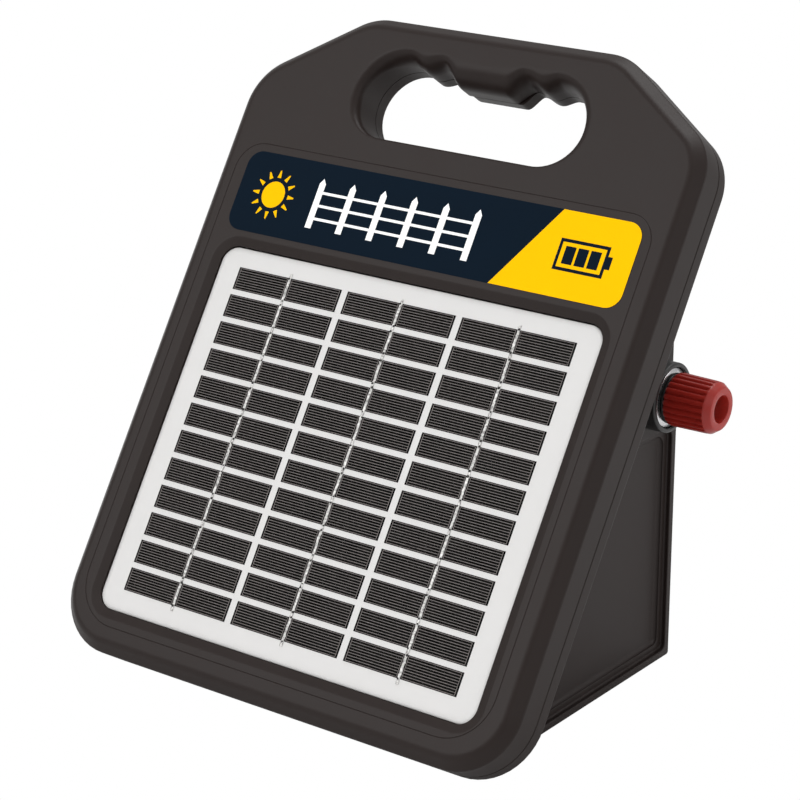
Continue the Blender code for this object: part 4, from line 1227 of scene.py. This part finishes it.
def rocker_marks(place):
    """The two usual marks, a ring for off and a bar for on, which follow the dished face."""
    skin = Skin()
    sink, lift = -0.1, 0.02
    steps = 32
    loops = []
    for radius, level in ((1.3, sink), (1.3, lift), (0.95, lift), (0.95, sink)):
        ring = []
        for step in range(steps):
            angle = 2 * pi * step / steps
            z = 4.4 + radius * sin(angle)
            ring.append((radius * cos(angle), rocker_face(z) + level, z))
        loops.append(skin.loop(ring))
    for index, loop in enumerate(loops):
        skin.bridge(loop, loops[(index + 1) % len(loops)])
    half = 0.18
    rings = []
    for z in (-5.6, -3.2):
        low, high = rocker_face(z) + sink, rocker_face(z) + lift
        rings.append([(-half, low, z), (half, low, z), (half, high, z), (-half, high, z)])
    skin.block(rings)
    dress(skin.make("rocker_marks", place), INK, "label_film", body="switch_rocker")


def switch():
    switch_bezel()
    pivot = Vector(next(joint["pos_m"] for joint in frame["joints"] if joint["name"] == "switch_rock"))
    tilt = Matrix.Rotation(radians(-10.0), 4, "X")
    place = Matrix.Translation(pivot) @ tilt @ SCALE
    rocker(place)
    rocker_marks(place)


def lamp():
    """The status lamp's domed green lens."""
    flange, seat, dome, dome_height = 4.2, 56.6, 60.2, 2.3
    profile = [(55.4, flange), (seat, flange), (seat, LENS_RADIUS), (dome, LENS_RADIUS)]
    for across, up in quarter(7):
        profile.append((dome + dome_height * up, LENS_RADIUS * (1 - 0.98 * across)))
    lens = soften(turned("lamp_lens", profile, rear_matrix(middle("status_lens")), 48), angle=40.0)
    glass = varied("lens", (0.015, 0.30, 0.03), (0.03, 0.42, 0.05), 0.12, Coat_Weight=0.6)
    dress(lens, glass, "lens_green", "status_lens")


def feet():
    profile = [(0.0, 4.3), (0.12, 4.6), (0.4, 4.88), (0.8, 5.0), (1.45, 5.0)]
    for number in range(1, 5):
        low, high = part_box(f"foot_{number}")
        place = Matrix.Translation(((low.x + high.x) / 2, (low.y + high.y) / 2, low.z)) @ SCALE
        foot = soften(turned(f"rubber_foot_{number}", profile, place, 48), angle=50.0)
        dress(foot, RUBBER, "rubber", f"foot_{number}")


def fasteners():
    """The six screws through the slab's back and the four of the battery cover."""
    for number, (x, u, _) in enumerate(housing_screw_places(), 1):
        place = SLAB @ Matrix.Translation((x, u, 0)) @ Matrix.Rotation(pi, 4, "X")
        screw(f"shell_screw_{number}", place, 19.2, 17.3, 6.0, 2.8, 1.45, f"housing_screw_{number}")
    for number, at in enumerate(cover_screw_places(), 1):
        place = rear_matrix(at)
        screw(f"cover_screw_{number}", place, 63.9, 62.5, 51.5, 2.7, 1.0, f"back_cover_screw_{number}")


# ---- what stays from the CAD


def dress_inside():
    """Materials for the pieces inside, which keep their CAD shapes."""
    board = varied("board", (0.006, 0.055, 0.022), (0.012, 0.085, 0.035), 0.35, 150.0, Coat_Weight=0.4)
    copper = metal("copper", (0.55, 0.21, 0.09), 0.32, pattern=500.0, grain=0.5)
    finishes = {
        "rubber": RUBBER,
        "stainless_steel": STEEL,
        "dark_steel": DARK_STEEL,
        "black_plastic": BLACK,
        "led_resin": plastic("led", (0.4, 0.7, 0.4), 0.15),
        "battery_case": plastic("battery_case", (0.02, 0.02, 0.024), 0.5, grain=0.4),
        "board_green": board,
        "ferrite": plastic("ferrite", (0.03, 0.03, 0.034), 0.6, grain=0.6),
        "copper_winding": copper,
        "aluminium": metal("aluminium", (0.72, 0.72, 0.74), 0.35),
        "red_wire": plastic("red_wire", (0.42, 0.02, 0.02), 0.4),
        "black_wire": plastic("black_wire", (0.015, 0.015, 0.015), 0.4),
        "white_wire": plastic("white_wire", (0.65, 0.65, 0.65), 0.4),
    }
    slots = {row["node"]: row["material_slot"] for row in frame["record"]["subparts"]}
    for name, node in frame["nodes"].items():
        if node.hide_render:
            continue
        for slot in node.material_slots:
            slot.material = finishes[slots[name]]


# ---- stage


def apart_for_camera(tree, lit, white, output):
    """The camera sees plain white, and every other ray meets the lit shader."""
    camera_ray = add_node(tree, "LightPath").outputs["Is Camera Ray"]
    mix = add_node(tree, "MixShader", Fac=camera_ray)
    tree.links.new(lit, mix.inputs[1])
    tree.links.new(add_node(tree, white, Color=(1, 1, 1, 1), Strength=1.0).outputs[0], mix.inputs[2])
    tree.links.new(mix.outputs["Shader"], tree.nodes[output].inputs["Surface"])


def floor():
    """A pale floor, plain white to the camera."""
    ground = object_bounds()[0].z
    half = 20.0
    corners = [(-half, -half, ground), (half, -half, ground), (half, half, ground), (-half, half, ground)]
    data = bpy.data.meshes.new("floor")
    data.from_pydata(corners, [], [(0, 1, 2, 3)])
    plane = new_object("floor", data)
    pale = bpy.data.materials.new("floor")
    pale.use_nodes = True
    tree = pale.node_tree
    shader = tree.nodes["Principled BSDF"]
    set_sockets(tree, shader, {"Base Color": (0.78, 0.78, 0.78, 1), "Roughness": 0.7})
    apart_for_camera(tree, shader.outputs["BSDF"], "Emission", "Material Output")
    data.materials.append(pale)
    plane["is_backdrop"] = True


def softbox(name, place, size, power):
    """A round soft light that faces the object."""
    lamp_data = bpy.data.lights.new(name, "AREA")
    lamp_data.shape = "DISK"
    lamp_data.size = size
    lamp_data.energy = power
    box = new_object(name, lamp_data)
    box.location = place
    box.rotation_euler = (Vector((0.0, 0.0, 0.12)) - Vector(place)).to_track_quat("-Z", "Y").to_euler()


def surroundings():
    """A pale studio: a little brighter overhead than at the horizon, and plain white to the camera."""
    world = bpy.data.worlds.new("studio")
    bpy.context.scene.world = world
    world.use_nodes = True
    tree = world.node_tree
    light = tree.nodes["Background"]
    split = add_node(tree, "SeparateXYZ", Vector=add_node(tree, "TexCoord").outputs["Generated"])
    fade = add_node(tree, "MapRange", Value=split.outputs["Z"], From_Max=0.9, To_Min=0.5, To_Max=0.7)
    set_sockets(tree, light, {"Color": (1, 1, 1, 1), "Strength": fade.outputs["Result"]})
    apart_for_camera(tree, light.outputs["Background"], "Background", "World Output")


def lights():
    softbox("key", (-1.5, -2.6, 2.1), 2.8, 58.0)
    softbox("right", (1.35, 0.6, 0.25), 0.8, 4.4)
    softbox("front_right", (1.54, -0.71, 1.06), 1.2, 3.0)
    softbox("top", (0.0, 0.7, 1.9), 1.3, 17.0)


def camera():
    data = bpy.data.cameras.new("camera")
    data.lens = 120.78
    data.sensor_width = 36.0
    eye = new_object("camera", data)
    eye.location = CASE @ Vector((592.25, -789.41, 310.56))
    eye.rotation_euler = (radians(70.47), 0.0, radians(36.911))
    bpy.context.scene.camera = eye


def main():
    front_shell()
    rear_shell()
    solar_panel()
    label()
    terminals()
    back_cover()
    switch()
    lamp()
    feet()
    fasteners()
    dress_inside()
    floor()
    surroundings()
    lights()
    camera()
    bpy.context.scene.view_settings.view_transform = "Standard"


main()
